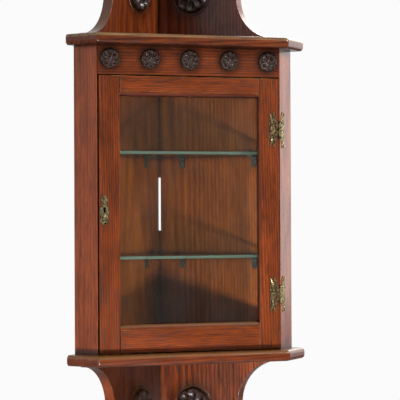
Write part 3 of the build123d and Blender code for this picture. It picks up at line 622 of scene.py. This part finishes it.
def board_shade(tree, board, open_air, tone):
    """Patches of tone some 45 mm wide, blots of 18 mm, and painted shade in corners, darkest in seams, where
    grime also gathers.
    """
    drawn_out = add_node(tree, "ShaderNodeMapping", {"Vector": board, "Scale": (1, 1, 0.3)}).outputs[0]
    patches = add_node(
        tree, "ShaderNodeTexNoise",
        {"Vector": drawn_out, "Scale": 22.0, "Detail": 5.0, "Roughness": 0.65}).outputs["Fac"]
    blots = add_node(
        tree, "ShaderNodeTexNoise", {"Vector": drawn_out, "Scale": 55.0, "Detail": 3.0}).outputs["Fac"]
    shade = 1.0
    # The two factors from open_air are painted shade in corners and seams.
    for cause, start, end, low, high in (
            (patches, 0.3, 0.7, 0.72 * tone, 1.28 * tone), (blots, 0.35, 0.65, 0.86, 1.14),
            (open_air, 0.45, 0.95, 0.4, 1.0), (open_air, 0.48, 0.66, 0.35, 1.0)):
        factor = add_node(
            tree, "ShaderNodeMapRange",
            {"Value": cause, "From Min": start, "From Max": end, "To Min": low, "To Max": high}).outputs[0]
        shade = add_node(tree, "ShaderNodeMath", {0: shade, 1: factor}, operation="MULTIPLY").outputs[0]
    return shade


def rubbing_and_top_light(tree, coords, upward, fibres, open_air, handling_and_top_light):
    """How far the stain is rubbed off: a little on level tops, and along the arrises. The paler tops
    are painted light from above as well as wear.

    The rubbed arrises are broken up in stretches of some 30 mm.
    """
    patches = add_node(
        tree, "ShaderNodeTexNoise", {"Vector": coords, "Scale": 34.0, "Detail": 5.0}).outputs["Fac"]
    patches = add_node(
        tree, "ShaderNodeMapRange",
        {"Value": patches, "From Min": 0.44, "From Max": 0.58, "To Min": 0.08, "To Max": 0.95}).outputs[0]
    wear_and_light = arris_wear(tree, settings().oak.wear_width)
    wear_and_light = add_node(tree, "ShaderNodeMath", {0: wear_and_light, 1: patches}, operation="MULTIPLY").outputs[0]
    # Level tops paler: a little wear, and painted light from above.
    top_wear_and_light = add_node(
        tree, "ShaderNodeMapRange",
        {"Value": upward, "From Min": 0.2, "From Max": 0.8, "To Max": 0.25}).outputs[0]
    wear_and_light = add_node(tree, "ShaderNodeMath", {0: wear_and_light, 1: top_wear_and_light}, operation="MAXIMUM").outputs[0]
    if handling_and_top_light:
        # Hands rub the rounded upper edge through to paler streaks, which are also painted light from above.
        held_and_lit = 1.0
        for cause, start, end, most in (
                (upward, 0.08, 0.4, 1.0), (upward, 0.99, 0.9, 1.0), (fibres, 0.4, 0.6, handling_and_top_light)):
            share = add_node(
                tree, "ShaderNodeMapRange",
                {"Value": cause, "From Min": start, "From Max": end, "To Max": most}).outputs[0]
            held_and_lit = add_node(tree, "ShaderNodeMath", {0: held_and_lit, 1: share}, operation="MULTIPLY").outputs[0]
        wear_and_light = add_node(tree, "ShaderNodeMath", {0: wear_and_light, 1: held_and_lit}, operation="MAXIMUM").outputs[0]
    exposed = add_node(
        tree, "ShaderNodeMapRange", {"Value": open_air, "From Min": 0.6, "From Max": 0.85}).outputs[0]
    return add_node(tree, "ShaderNodeMath", {0: wear_and_light, 1: exposed}, operation="MULTIPLY").outputs[0]


def varnish(tree, upward, zones, apron):
    """Shine of the varnish: dusty on level faces, dull on a dark apron and thin inside the case."""
    level = add_node(tree, "ShaderNodeMath", {0: upward}, operation="ABSOLUTE").outputs[0]
    shine = add_node(
        tree, "ShaderNodeMapRange",
        {"Value": level, "From Min": 0.3, "From Max": 0.9, "To Min": 0.5, "To Max": 0.15}).outputs[0]
    if zones:
        shown, above, inside = zones
        thinned = add_node(tree, "ShaderNodeMix", {0: above, 2: apron, 3: 1.0}).outputs[0]
        thinned = add_node(tree, "ShaderNodeMix", {0: inside, 2: thinned, 3: 0.5}).outputs[0]
        thinned = add_node(tree, "ShaderNodeMix", {0: shown, 2: 1.0, 3: thinned}).outputs[0]
        shine = add_node(
            tree, "ShaderNodeMath", {0: shine, 1: thinned}, operation="MULTIPLY").outputs[0]
    return shine


def stained_oak(name, grain, pith, tone=1.0, lean=0.006, rings=1.0, figure=1.0, contrast=1.0,
                rosettes=(), lining=None, apron=1.0, crest=(1, 1, 1), moulding=None, handling_and_top_light=0):
    """Rift-sawn oak, stained red-brown and varnished.

    The eye gets close straight streaks where the saw crossed the growth rings, dark dashes where
    the open pores hold stain, painted shade and grime in the corners, paler arrises and a satin shine.
    grain is the axis that the board's fibres follow, pith the centre of its tree, in metres, lean
    the angle of its fibres across the face, rings the width of its rings against the usual, figure
    how much they waver, and contrast how boldly they show.
    A back board's lining is the direction out of its face inside the case, where it is painted
    lighter and yellower as painted light; its apron below the case and its crest above have tones of
    their own. moulding is the plane behind which sloping faces are a moulding with painted shade, and
    handling_and_top_light how far the rounded upper edge is paler, from 0 to 1: rubbed by hands, and
    painted light from above.
    """
    oak = settings().oak
    material, tree, shader = new_material(name)
    coords = add_node(tree, "ShaderNodeTexCoord").outputs["Object"]
    place = add_node(tree, "ShaderNodeSeparateXYZ", {0: coords}).outputs
    normal = add_node(tree, "ShaderNodeNewGeometry").outputs["Normal"]
    facing = add_node(tree, "ShaderNodeSeparateXYZ", {0: normal}).outputs
    upward = facing["Z"]
    zones = case_zones(tree, place["Z"], normal, lining) if lining else None

    # The board's own coordinates have the pith at the origin and the fibres along Z.
    turn = (0.008, lean - pi / 2 if grain == "X" else lean, 0)
    board = add_node(
        tree, "ShaderNodeVectorMath", {0: coords, 1: pith}, operation="SUBTRACT").outputs[0]
    board = add_node(tree, "ShaderNodeMapping", {"Vector": board, "Rotation": turn}).outputs[0]

    # Rings and fibres together make the figure, which fades with the pores inside the case.
    year = growth_rings(tree, board, rings, figure)
    fibres = long_fibres(tree, board)
    bands = add_node(tree, "ShaderNodeMix", {0: 0.62, 2: year, 3: fibres}).outputs[0]
    bands = add_node(
        tree, "ShaderNodeMapRange",
        {"Value": bands, "From Min": 0.28, "From Max": 0.7, "To Min": 0.5 - 0.5 * contrast,
         "To Max": 0.5 + 0.5 * contrast}).outputs[0]
    pores = open_pores(tree, board, year, contrast)
    if zones:
        shown, _, inside = zones
        faint = add_node(tree, "ShaderNodeMath", {0: inside, 1: 0.6}, operation="MULTIPLY").outputs[0]
        bands = add_node(tree, "ShaderNodeMix", {0: faint, 2: bands, 3: 0.5}).outputs[0]
        pores = add_node(tree, "ShaderNodeMix", {0: faint, 2: pores, 3: 0.1}).outputs[0]
    colour = add_node(
        tree, "ShaderNodeMix", {0: bands, 6: rgba(oak.early_colour), 7: rgba(oak.late_colour)},
        data_type="RGBA").outputs[2]
    colour = add_node(
        tree, "ShaderNodeMix", {0: pores, 6: colour, 7: rgba(oak.pore_colour)},
        data_type="RGBA").outputs[2]
    colour = add_node(
        tree, "ShaderNodeVectorMath", {0: colour, "Scale": fine_pores(tree, board)},
        operation="SCALE").outputs[0]
    if zones:
        colour = zone_tones(tree, colour, place["X"], zones, apron, crest)
    colour = end_grain_and_underside_shade(tree, colour, facing, grain)
    # Painted shade on the sloping faces of the door's moulding.
    if moulding:
        colour = moulding_shade(tree, colour, place["Y"], facing["Y"], moulding)

    # Patches, painted shade in corners where grime also sits, darker round the rosettes, rubbed arrises.
    open_air = add_node(
        tree, "ShaderNodeAmbientOcclusion", {"Distance": oak.shade_and_grime_reach}, samples=6).outputs["AO"]
    shade = board_shade(tree, board, open_air, tone)
    if rosettes:
        near = near_rosettes(tree, coords, rosettes)
        if zones:
            near = add_node(tree, "ShaderNodeMath", {0: near, 1: shown}, operation="MULTIPLY").outputs[0]
        dark = add_node(
            tree, "ShaderNodeMath", {0: near, 1: -0.62, 2: 1.0}, operation="MULTIPLY_ADD").outputs[0]
        shade = add_node(tree, "ShaderNodeMath", {0: shade, 1: dark}, operation="MULTIPLY").outputs[0]
    colour = add_node(
        tree, "ShaderNodeVectorMath", {0: colour, "Scale": shade}, operation="SCALE").outputs[0]
    wear_and_light = rubbing_and_top_light(tree, coords, upward, fibres, open_air, handling_and_top_light)
    colour = add_node(
        tree, "ShaderNodeMix", {0: wear_and_light, 6: colour, 7: rgba(oak.worn_and_lit_colour)},
        data_type="RGBA").outputs[2]

    tree.links.new(colour, shader.inputs["Base Color"])
    tree.links.new(varnish(tree, upward, zones, apron), shader.inputs["Specular IOR Level"])
    gloss = add_node(
        tree, "ShaderNodeMapRange", {"Value": pores, "To Min": 0.22, "To Max": 0.4}).outputs[0]
    tree.links.new(gloss, shader.inputs["Roughness"])
    bump = add_node(
        tree, "ShaderNodeBump", {"Height": pores, "Strength": 0.3, "Distance": 0.12 * MM}, invert=True)
    tree.links.new(bump.outputs["Normal"], shader.inputs["Normal"])
    return material


def rubbed_relief(tree, colour, hollow_reach, hollow_limits, ridge_width, ridges, ridge_colour):
    """A colour that darkens in hollows and is rubbed paler along ridges.

    hollow_limits are how open the air is where a hollow is darkest and where it ends, and how much
    of the colour is left at its darkest; ridges is how far the ridges are rubbed, from 0 to 1.
    """
    closed, opened, darkest = hollow_limits
    open_air = add_node(
        tree, "ShaderNodeAmbientOcclusion", {"Distance": hollow_reach}, samples=6).outputs["AO"]
    hollow = add_node(
        tree, "ShaderNodeMapRange",
        {"Value": open_air, "From Min": closed, "From Max": opened, "To Min": darkest}).outputs[0]
    colour = add_node(
        tree, "ShaderNodeVectorMath", {0: colour, "Scale": hollow}, operation="SCALE").outputs[0]
    rubbed = add_node(
        tree, "ShaderNodeMath", {0: arris_wear(tree, ridge_width), 1: ridges},
        operation="MULTIPLY").outputs[0]
    return add_node(
        tree, "ShaderNodeMix", {0: rubbed, 6: colour, 7: rgba(ridge_colour)},
        data_type="RGBA").outputs[2]


def blackened_oak():
    """Oak stained almost black: mottled over some 4 mm, painted shade in hollows, and rubbed paler on ridges.
    """
    material, tree, shader = new_material("blackened_oak")
    coords = add_node(tree, "ShaderNodeTexCoord").outputs["Object"]
    mottle = add_node(
        tree, "ShaderNodeTexNoise",
        {"Vector": coords, "Scale": 260.0, "Detail": 4.0, "Roughness": 0.7}).outputs["Fac"]
    spread = add_node(
        tree, "ShaderNodeMapRange", {"Value": mottle, "From Min": 0.35, "From Max": 0.7}).outputs[0]
    colour = add_node(
        tree, "ShaderNodeMix", {0: spread, 6: rgba("#180D0A"), 7: rgba("#40261D")},
        data_type="RGBA").outputs[2]
    ridges = add_node(tree, "ShaderNodeMath", {0: spread, 1: 0.75}, operation="MULTIPLY").outputs[0]
    # The darkening in the carving's hollows is painted shade.
    colour = rubbed_relief(tree, colour, 3 * MM, (0.4, 0.95, 0.1), 0.9 * MM, ridges, "#B09686")
    tree.links.new(colour, shader.inputs["Base Color"])
    shader.inputs["Roughness"].default_value = 0.3
    return material


def clear_glass(name, tint, edge=None, dust=0.0):
    """Soda-lime glass: clear through the face, green through the cut edge, which is left rubbed.

    dust is the share of the face that a film of dust hides, uneven over some 70 mm.
    """
    material, tree, shader = new_material(name)
    shader.inputs["Base Color"].default_value = rgba(tint)
    shader.inputs["Transmission Weight"].default_value = 1.0
    shader.inputs["Roughness"].default_value = 0.0
    shader.inputs["IOR"].default_value = 1.5
    surface = shader.outputs[0]
    passing = rgba(tint)
    if edge:
        normal = add_node(tree, "ShaderNodeNewGeometry").outputs["Normal"]
        upright = add_node(tree, "ShaderNodeSeparateXYZ", {0: normal}).outputs["Z"]
        flat = add_node(tree, "ShaderNodeMath", {0: upright}, operation="ABSOLUTE").outputs[0]
        cut = add_node(tree, "ShaderNodeMath", {0: flat, 1: 0.5}, operation="LESS_THAN").outputs[0]
        rubbed = add_node(
            tree, "ShaderNodeBsdfPrincipled",
            {"Base Color": rgba(edge), "Roughness": 0.35, "Transmission Weight": 0.35, "IOR": 1.5})
        surface = add_node(
            tree, "ShaderNodeMixShader", {0: cut, 1: surface, 2: rubbed.outputs[0]}).outputs[0]
        dimmed = [0.4 * channel for channel in linear(edge)]
        passing = add_node(
            tree, "ShaderNodeMix", {0: cut, 6: rgba(tint), 7: rgba(dimmed)},
            data_type="RGBA").outputs[2]
    if dust:
        coords = add_node(tree, "ShaderNodeTexCoord").outputs["Object"]
        film = add_node(
            tree, "ShaderNodeTexNoise", {"Vector": coords, "Scale": 14.0, "Detail": 4.0}).outputs["Fac"]
        film = add_node(
            tree, "ShaderNodeMapRange",
            {"Value": film, "From Min": 0.3, "From Max": 0.7, "To Min": 0.5 * dust,
             "To Max": 1.5 * dust}).outputs[0]
        dusty = add_node(tree, "ShaderNodeBsdfDiffuse", {"Color": rgba("#D8D4CC")}).outputs[0]
        surface = add_node(tree, "ShaderNodeMixShader", {0: film, 1: surface, 2: dusty}).outputs[0]

    # Light passes straight through, without the noise of bending in thin glass.
    path = add_node(tree, "ShaderNodeLightPath").outputs
    lighting = add_node(
        tree, "ShaderNodeMath", {0: path["Is Shadow Ray"], 1: path["Is Diffuse Ray"]},
        operation="MAXIMUM").outputs[0]
    through = add_node(tree, "ShaderNodeBsdfTransparent", {"Color": passing}).outputs[0]
    surface = add_node(
        tree, "ShaderNodeMixShader", {0: lighting, 1: surface, 2: through}).outputs[0]
    tree.links.new(surface, tree.nodes["Material Output"].inputs["Surface"])
    return material


def aged_brass():
    """Pressed brass gone dull: flecks of brown tarnish some 4 mm wide, dark hollows, rubbed ridges."""
    material, tree, shader = new_material("aged_brass")
    coords = add_node(tree, "ShaderNodeTexCoord").outputs["Object"]
    tarnish = add_node(
        tree, "ShaderNodeTexNoise", {"Vector": coords, "Scale": 260.0, "Detail": 3.0}).outputs["Fac"]
    tarnish = add_node(
        tree, "ShaderNodeMapRange", {"Value": tarnish, "From Min": 0.37, "From Max": 0.63}).outputs[0]
    colour = add_node(
        tree, "ShaderNodeMix", {0: tarnish, 6: rgba("#2C2008"), 7: rgba("#D2C08E")},
        data_type="RGBA").outputs[2]
    colour = rubbed_relief(tree, colour, 1.6 * MM, (0.55, 0.95, 0.03), 0.35 * MM, 0.95, "#F0DCA4")
    tree.links.new(colour, shader.inputs["Base Color"])
    shader.inputs["Metallic"].default_value = 0.9
    shader.inputs["Roughness"].default_value = 0.3
    return material


def dull_steel(name, dark, light, roughness):
    """Plain steel with a thin brown film of age, uneven over some 4.5 mm."""
    material, tree, shader = new_material(name)
    coords = add_node(tree, "ShaderNodeTexCoord").outputs["Object"]
    film = add_node(
        tree, "ShaderNodeTexNoise", {"Vector": coords, "Scale": 220.0, "Detail": 3.0}).outputs["Fac"]
    colour = add_node(
        tree, "ShaderNodeMix", {0: film, 6: rgba(dark), 7: rgba(light)}, data_type="RGBA").outputs[2]
    tree.links.new(colour, shader.inputs["Base Color"])
    shader.inputs["Metallic"].default_value = 0.6
    shader.inputs["Roughness"].default_value = roughness
    return material


def studio_floor():
    """Pale painted floor that keeps the shadow near the cabinet and fades to plain white beyond."""
    material, tree, shader = new_material("studio_floor")
    shader.inputs["Base Color"].default_value = rgba(settings().stage.floor_colour)
    shader.inputs["Roughness"].default_value = 0.8
    coords = add_node(tree, "ShaderNodeTexCoord").outputs["Object"]
    plan = add_node(tree, "ShaderNodeMapping", {"Vector": coords, "Scale": (1, 1, 0)}).outputs[0]
    away = add_node(tree, "ShaderNodeVectorMath", {0: plan}, operation="LENGTH").outputs["Value"]
    far = add_node(
        tree, "ShaderNodeMapRange", {"Value": away, "From Min": 0.6, "From Max": 1.4},
        interpolation_type="SMOOTHSTEP").outputs[0]
    path = add_node(tree, "ShaderNodeLightPath").outputs
    straight = add_node(
        tree, "ShaderNodeMath", {0: path["Is Camera Ray"], 1: path["Is Transmission Ray"]},
        operation="MAXIMUM").outputs[0]
    seen = add_node(tree, "ShaderNodeMath", {0: straight, 1: far}, operation="MULTIPLY").outputs[0]
    white = add_node(
        tree, "ShaderNodeEmission", {"Color": rgba(PLAIN_WHITE), "Strength": 1.0}).outputs[0]
    surface = add_node(
        tree, "ShaderNodeMixShader", {0: seen, 1: shader.outputs[0], 2: white}).outputs[0]
    tree.links.new(surface, tree.nodes["Material Output"].inputs["Surface"])
    return material


# ---------------------------------------------------------------- operators

class CABINET_OT_case_boards(bpy.types.Operator):
    """Finish the boards of the case"""
    bl_idname = "cabinet.case_boards"
    bl_label = "Case boards"

    def execute(self, context):
        frieze_rosettes = [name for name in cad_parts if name.startswith("frieze_rosette")]
        boards = {
            "left_back_board": dict(
                grain="Z", pith=(-0.30, 0.16, 0), tone=0.95, rings=0.9, figure=0.6, contrast=0.7,
                lining=OFF_LEFT_WALL, apron=0.4,
                rosettes=("upper_left_rosette", "lower_left_rosette")),
            "right_back_board": dict(
                grain="Z", pith=(0.22, 0.22, 0), tone=0.86, rings=1.2, figure=0.6, contrast=1.4,
                lining=OFF_RIGHT_WALL, apron=1.1, crest=(1, 1.15, 2.2),
                rosettes=("upper_right_rosette", "lower_right_rosette")),
            "left_side_panel": dict(
                grain="Z", pith=(-0.32, -0.30, 0), tone=1.05, rings=0.7, contrast=0.4),
            "right_side_panel": dict(
                grain="Z", pith=(0.30, -0.33, 0), tone=1.05, rings=0.8, contrast=0.6),
            "top_board": dict(
                grain="X", pith=(0, -0.12, 0.86), tone=0.58, lean=0.05, rings=1.8, figure=3.0,
                contrast=1.1, handling_and_top_light=0.8),
            "bottom_board": dict(
                grain="X", pith=(0, -0.10, 0.30), tone=0.69, lean=0.03, rings=1.1, figure=1.6,
                contrast=0.75, handling_and_top_light=0.25),
            "frieze": dict(
                grain="X", pith=(0, -0.12, 0.78), tone=0.68, contrast=0.85,
                rosettes=frieze_rosettes),
            "upper_door_stop": dict(grain="X", pith=(0, -0.12, 0.80), tone=0.9),
            "lower_door_stop": dict(grain="X", pith=(0, -0.12, 0.10), tone=0.9),
        }
        for name, looks in boards.items():
            finish_nodes([name], stained_oak(f"oak_{name}", **looks))
        return {"FINISHED"}


class CABINET_OT_door_frame(bpy.types.Operator):
    """Finish the stiles, rails and glazing beads of the door"""
    bl_idname = "cabinet.door_frame"
    bl_label = "Door frame"

    def execute(self, context):
        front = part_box("door_left_stile")[0][1]
        members = {
            "door_left_stile": ("Z", (-0.22, -0.08, 0), 0.76),
            "door_right_stile": ("Z", (0.10, -0.12, 0), 0.8),
            "door_top_rail": ("X", (0, -0.14, 0.60), 0.84),
            "door_bottom_rail": ("X", (0, -0.14, 0.16), 0.88),
        }
        for name, (grain, pith, tone) in members.items():
            finish_nodes([name], stained_oak(
                f"oak_{name}", grain, pith, tone, rings=0.7, contrast=0.8, moulding=front + 0.3 * MM))
        for way, grain, ends in (
                ("upright", "Z", ("left", "right")), ("level", "X", ("top", "bottom"))):
            beads = [f"glazing_bead_{end}" for end in ends]
            finish_nodes(beads, stained_oak(f"oak_{way}_beads", grain, (0, 0, 0)))
        return {"FINISHED"}


class CABINET_OT_rosettes(bpy.types.Operator):
    """Carve the rosettes"""
    bl_idname = "cabinet.rosettes"
    bl_label = "Rosettes"

    def execute(self, context):
        oak = blackened_oak()
        for name in [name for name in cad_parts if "rosette" in name]:
            outward, wood = FRONT, "frieze"
            if "left" in name:
                outward, wood = OFF_LEFT_WALL, "left_back_board"
            if "right" in name:
                outward, wood = OFF_RIGHT_WALL, "right_back_board"
            back, crown = reach(name, outward)
            low, high = reach(name, UP)
            across = UP.cross(outward)
            left, right = reach(name, across)
            matrix = face_frame(across * (left + right) / 2 + UP * (low + high) / 2, outward)
            shape = bmesh.new()
            carve_rosette(shape, (high - low) / 2, back, crown, crown - reach(wood, outward)[1])
            bmesh.ops.transform(shape, matrix=matrix, verts=shape.verts)
            make_piece(f"carved_{name}", shape, oak, "case", [name])
        return {"FINISHED"}


class CABINET_OT_hinges(bpy.types.Operator):
    """Press the hinge leaves, with raised borders, veins and beads"""
    bl_idname = "cabinet.hinges"
    bl_label = "Hinges"

    def execute(self, context):
        brass = aged_brass()
        field = LEAF_THICKNESS - settings().brass.field_depth
        for end in ("top", "bottom"):
            low, high = [Vector(corner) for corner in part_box(f"{end}_hinge_pin")]
            axis = (low + high) / 2
            for owner, outward, away in (
                    ("door", FRONT, Vector((-1, 0, 0))), ("case", OFF_LEFT_WALL, -OFF_RIGHT_WALL)):
                name = f"{end}_hinge_{owner}_leaf"
                foot = axis + outward * (reach(name, outward)[0] - axis.dot(outward))
                matrix = Matrix.Translation(foot) @ Matrix((away, UP, outward)).transposed().to_4x4()
                shape = merged_copy(name)
                press_field(shape, outward)
                add_relief(shape, matrix, field, "Y", LEAF_VEINS, LEAF_BEADS, LEAF_MIDDLE_BEADS)
                make_piece(f"pressed_{name}", shape, brass, owner, [name])
        finish_nodes([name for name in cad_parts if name.endswith("hinge_pin")], brass)
        return {"FINISHED"}


class CABINET_OT_escutcheon(bpy.types.Operator):
    """Press the escutcheon"""
    bl_idname = "cabinet.escutcheon"
    bl_label = "Escutcheon"

    def execute(self, context):
        brass = aged_brass()
        low, high = [Vector(corner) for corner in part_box("escutcheon")]
        matrix = face_frame(Vector(((low.x + high.x) / 2, high.y, (low.z + high.z) / 2)), FRONT)
        shape = merged_copy("escutcheon")
        press_field(shape, FRONT)
        field = high.y - low.y - settings().brass.field_depth
        add_relief(shape, matrix, field, "X", PLATE_VEINS, PLATE_BEADS, PLATE_MIDDLE_BEADS)
        make_piece("pressed_escutcheon", shape, brass, "door", ["escutcheon"])
        finish_nodes(["escutcheon_pins"], brass)
        return {"FINISHED"}


class CABINET_OT_glass(bpy.types.Operator):
    """Finish the door's pane and the glass shelves"""
    bl_idname = "cabinet.glass"
    bl_label = "Glass"

    def execute(self, context):
        finish_nodes(["door_glass"], clear_glass("window_glass", "#FAFBFA", dust=0.007))
        shelves = clear_glass("shelf_glass", "#E6F0EA", edge="#5F7564")
        finish_nodes(["upper_glass_shelf", "lower_glass_shelf"], shelves)
        return {"FINISHED"}


class CABINET_OT_brackets(bpy.types.Operator):
    """Bend the shelf brackets"""
    bl_idname = "cabinet.brackets"
    bl_label = "Brackets"

    def execute(self, context):
        steel = dull_steel("bracket_steel", "#2E3028", "#4A4E42", 0.6)
        names = [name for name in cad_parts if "_bracket_" in name and not name.endswith("screws")]
        for name in names:
            outward = OFF_RIGHT_WALL if "right" in name else OFF_LEFT_WALL
            seat, top = reach(name, outward)[0], reach(name, UP)[1]
            shape = merged_copy(name)
            bmesh.ops.dissolve_limit(
                shape, angle_limit=radians(1), verts=shape.verts, edges=shape.edges)

            # The bend's two arrises run across the strip, near both its seat and its top.
            bend = [
                edge for edge in shape.edges
                if edge.calc_length() > BEND_LENGTH and all(
                    vertex.co.dot(outward) - seat < BEND_REACH and top - vertex.co.z < BEND_REACH
                    for vertex in edge.verts)]
            bmesh.ops.bevel(
                shape, geom=bend, offset=BEND_RADIUS, affect="EDGES", segments=5, profile=0.5,
                material=-1)
            make_piece(f"bent_{name}", shape, steel, "case", [name])
        return {"FINISHED"}


class CABINET_OT_fasteners(bpy.types.Operator):
    """Slot the screws and finish the nails, pins and lock"""
    bl_idname = "cabinet.fasteners"
    bl_label = "Fasteners"

    def execute(self, context):
        iron = dull_steel("aged_iron", "#2F2823", "#5A524A", 0.5)
        brass = aged_brass()
        # Each group's body, its shank's radius, its head's radius and height in mm, and its metal.
        groups = {
            "door_leaf_screws": ("door", 0.9, 1.8, 1.0, brass),
            "case_leaf_screws": ("case", 0.9, 1.8, 1.0, brass),
            "shelf_bracket_screws": ("case", 1.5, 3.0, 1.6, iron),
        }
        for name, (body, shank, radius, height, material) in groups.items():
            shape = bmesh.new()
            for number, points in enumerate(sorted(shells(name), key=lambda group: group[0].z)):
                outward = FRONT
                if name == "case_leaf_screws":
                    outward = OFF_LEFT_WALL
                if name == "shelf_bracket_screws":
                    on_right = sum(point.x for point in points) > 0
                    outward = OFF_RIGHT_WALL if on_right else OFF_LEFT_WALL
                across = UP.cross(outward)
                middle = [
                    (min(point.dot(axis) for point in points)
                     + max(point.dot(axis) for point in points)) / 2
                    for axis in (across, UP)]
                tip = min(point.dot(outward) for point in points)
                crown = max(point.dot(outward) for point in points)
                seat = crown - height * MM
                matrix = face_frame(
                    across * middle[0] + UP * middle[1] + outward * seat, outward)
                slotted_screw(
                    shape, matrix, radius * MM, height * MM, shank * MM, seat - tip,
                    SLOT_TURN * number)
            make_piece(f"slotted_{name}", shape, material, body, [name])
        rest = [
            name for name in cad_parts
            if name.startswith("lock_") or name.endswith(("nails", "screws", "bead_pins"))]
        finish_nodes([name for name in rest if name not in groups], iron)
        return {"FINISHED"}


class CABINET_OT_stage(bpy.types.Operator):
    """Build the floor, the lights and the camera"""
    bl_idname = "cabinet.stage"
    bl_label = "Stage"

    def execute(self, context):
        self.lay_floor(context)
        self.hang_lamps(context)
        self.light_world(context)
        self.place_camera(context)
        return {"FINISHED"}

    def lay_floor(self, context):
        """The studio's floor, below the hanging cabinet."""
        shape = bmesh.new()
        bmesh.ops.create_grid(shape, x_segments=1, y_segments=1, size=6)
        bmesh.ops.translate(shape, vec=(0, 0, -settings().stage.floor_drop), verts=shape.verts)
        mesh = bpy.data.meshes.new("studio_floor")
        shape.to_mesh(mesh)
        shape.free()
        mesh.materials.append(studio_floor())
        floor = bpy.data.objects.new("studio_floor", mesh)
        context.collection.objects.link(floor)

    def hang_lamps(self, context):
        """Square lamps, with their places, powers and widths, all turned to the cabinet."""
        stage = settings().stage
        aim = Vector((0, -0.15, 0.45))
        for name, place, power, size in (
                ("low_light", (-0.33, -1.48, -0.28), stage.low_power, 0.18),
                ("high_light", (1.00, -1.10, 1.35), stage.high_power, 0.3),
                ("left_light", (-1.2, -1.3, 0.3), stage.left_power, 1.0),
                ("side_light", (1.5, 0.35, 0.72), stage.side_power, 1.1),
                ("back_light", (1.2, 1.3, 1.4), stage.back_power, 1.2)):
            lamp = bpy.data.lights.new(name, "AREA")
            lamp.energy = power
            lamp.size = size
            holder = bpy.data.objects.new(name, lamp)
            holder.location = place
            holder.visible_camera = False
            holder.rotation_euler = (aim - Vector(place)).to_track_quat("-Z", "Y").to_euler()
            context.collection.objects.link(holder)

    def light_world(self, context):
        """White to the eye; to gloss and glass, white behind and above and dark in front."""
        stage = settings().stage
        world = bpy.data.worlds.new("studio")
        world.use_nodes = True
        tree = world.node_tree
        path = add_node(tree, "ShaderNodeLightPath").outputs
        direction = add_node(tree, "ShaderNodeTexCoord").outputs["Generated"]
        backward = add_node(
            tree, "ShaderNodeVectorMath", {0: direction, 1: BACKDROP},
            operation="DOT_PRODUCT").outputs["Value"]
        gloss = add_node(
            tree, "ShaderNodeMapRange",
            {"Value": backward, "From Min": -0.85, "From Max": 0.35, "To Min": stage.dark_front,
             "To Max": 1.15},
            interpolation_type="SMOOTHSTEP").outputs[0]
        mirrored = add_node(
            tree, "ShaderNodeMath", {0: path["Is Glossy Ray"], 1: path["Is Transmission Ray"]},
            operation="MAXIMUM").outputs[0]
        strength = add_node(tree, "ShaderNodeMix", {0: mirrored, 2: stage.ambient, 3: gloss}).outputs[0]
        strength = add_node(
            tree, "ShaderNodeMix", {0: path["Is Camera Ray"], 2: strength, 3: 1.0}).outputs[0]
        background = tree.nodes["Background"]
        background.inputs["Color"].default_value = rgba(PLAIN_WHITE)
        tree.links.new(strength, background.inputs["Strength"])
        context.scene.world = world
        context.scene.view_settings.view_transform = "Standard"

    def place_camera(self, context):
        """The camera stands to the left of the cabinet and looks a little to the right."""
        yaw, pitch, roll = [radians(degrees) for degrees in CAMERA_TURN]
        forward = Vector((sin(yaw) * cos(pitch), cos(yaw) * cos(pitch), sin(pitch)))
        level = Vector((cos(yaw), -sin(yaw), 0))
        upward = level.cross(forward)
        right = cos(roll) * level + sin(roll) * upward
        top = cos(roll) * upward - sin(roll) * level
        camera = bpy.data.objects.new("camera", bpy.data.cameras.new("camera"))
        camera.data.sensor_width = 36
        camera.data.lens = CAMERA_LENS
        turned = Matrix((right, top, -forward)).transposed().to_4x4()
        camera.matrix_world = Matrix.Translation(CAMERA_PLACE) @ turned
        context.collection.objects.link(camera)
        context.scene.camera = camera


class CABINET_PT_panel(bpy.types.Panel):
    """Lists the cabinet's steps"""
    bl_label = "Corner Cabinet"
    bl_idname = "CABINET_PT_panel"
    bl_space_type = "VIEW_3D"
    bl_region_type = "UI"
    bl_category = "Cabinet"

    def draw(self, context):
        for operator in OPERATORS:
            self.layout.operator(operator.bl_idname)


OPERATORS = (
    CABINET_OT_case_boards, CABINET_OT_door_frame, CABINET_OT_rosettes, CABINET_OT_hinges,
    CABINET_OT_escutcheon, CABINET_OT_glass, CABINET_OT_brackets, CABINET_OT_fasteners, CABINET_OT_stage)
CLASSES = (
    OakSettings, CarvingSettings, BrassSettings, StageSettings, CabinetSettings, *OPERATORS, CABINET_PT_panel)


def register():
    for cls in CLASSES:
        bpy.utils.register_class(cls)
    bpy.types.Scene.corner_cabinet = PointerProperty(type=CabinetSettings)


def unregister():
    del bpy.types.Scene.corner_cabinet
    for cls in reversed(CLASSES):
        bpy.utils.unregister_class(cls)


def main():
    """Build the whole cabinet."""
    register()
    bpy.ops.cabinet.case_boards()
    bpy.ops.cabinet.door_frame()
    bpy.ops.cabinet.rosettes()
    bpy.ops.cabinet.hinges()
    bpy.ops.cabinet.escutcheon()
    bpy.ops.cabinet.glass()
    bpy.ops.cabinet.brackets()
    bpy.ops.cabinet.fasteners()
    bpy.ops.cabinet.stage()


if __name__ == "__main__":
    main()
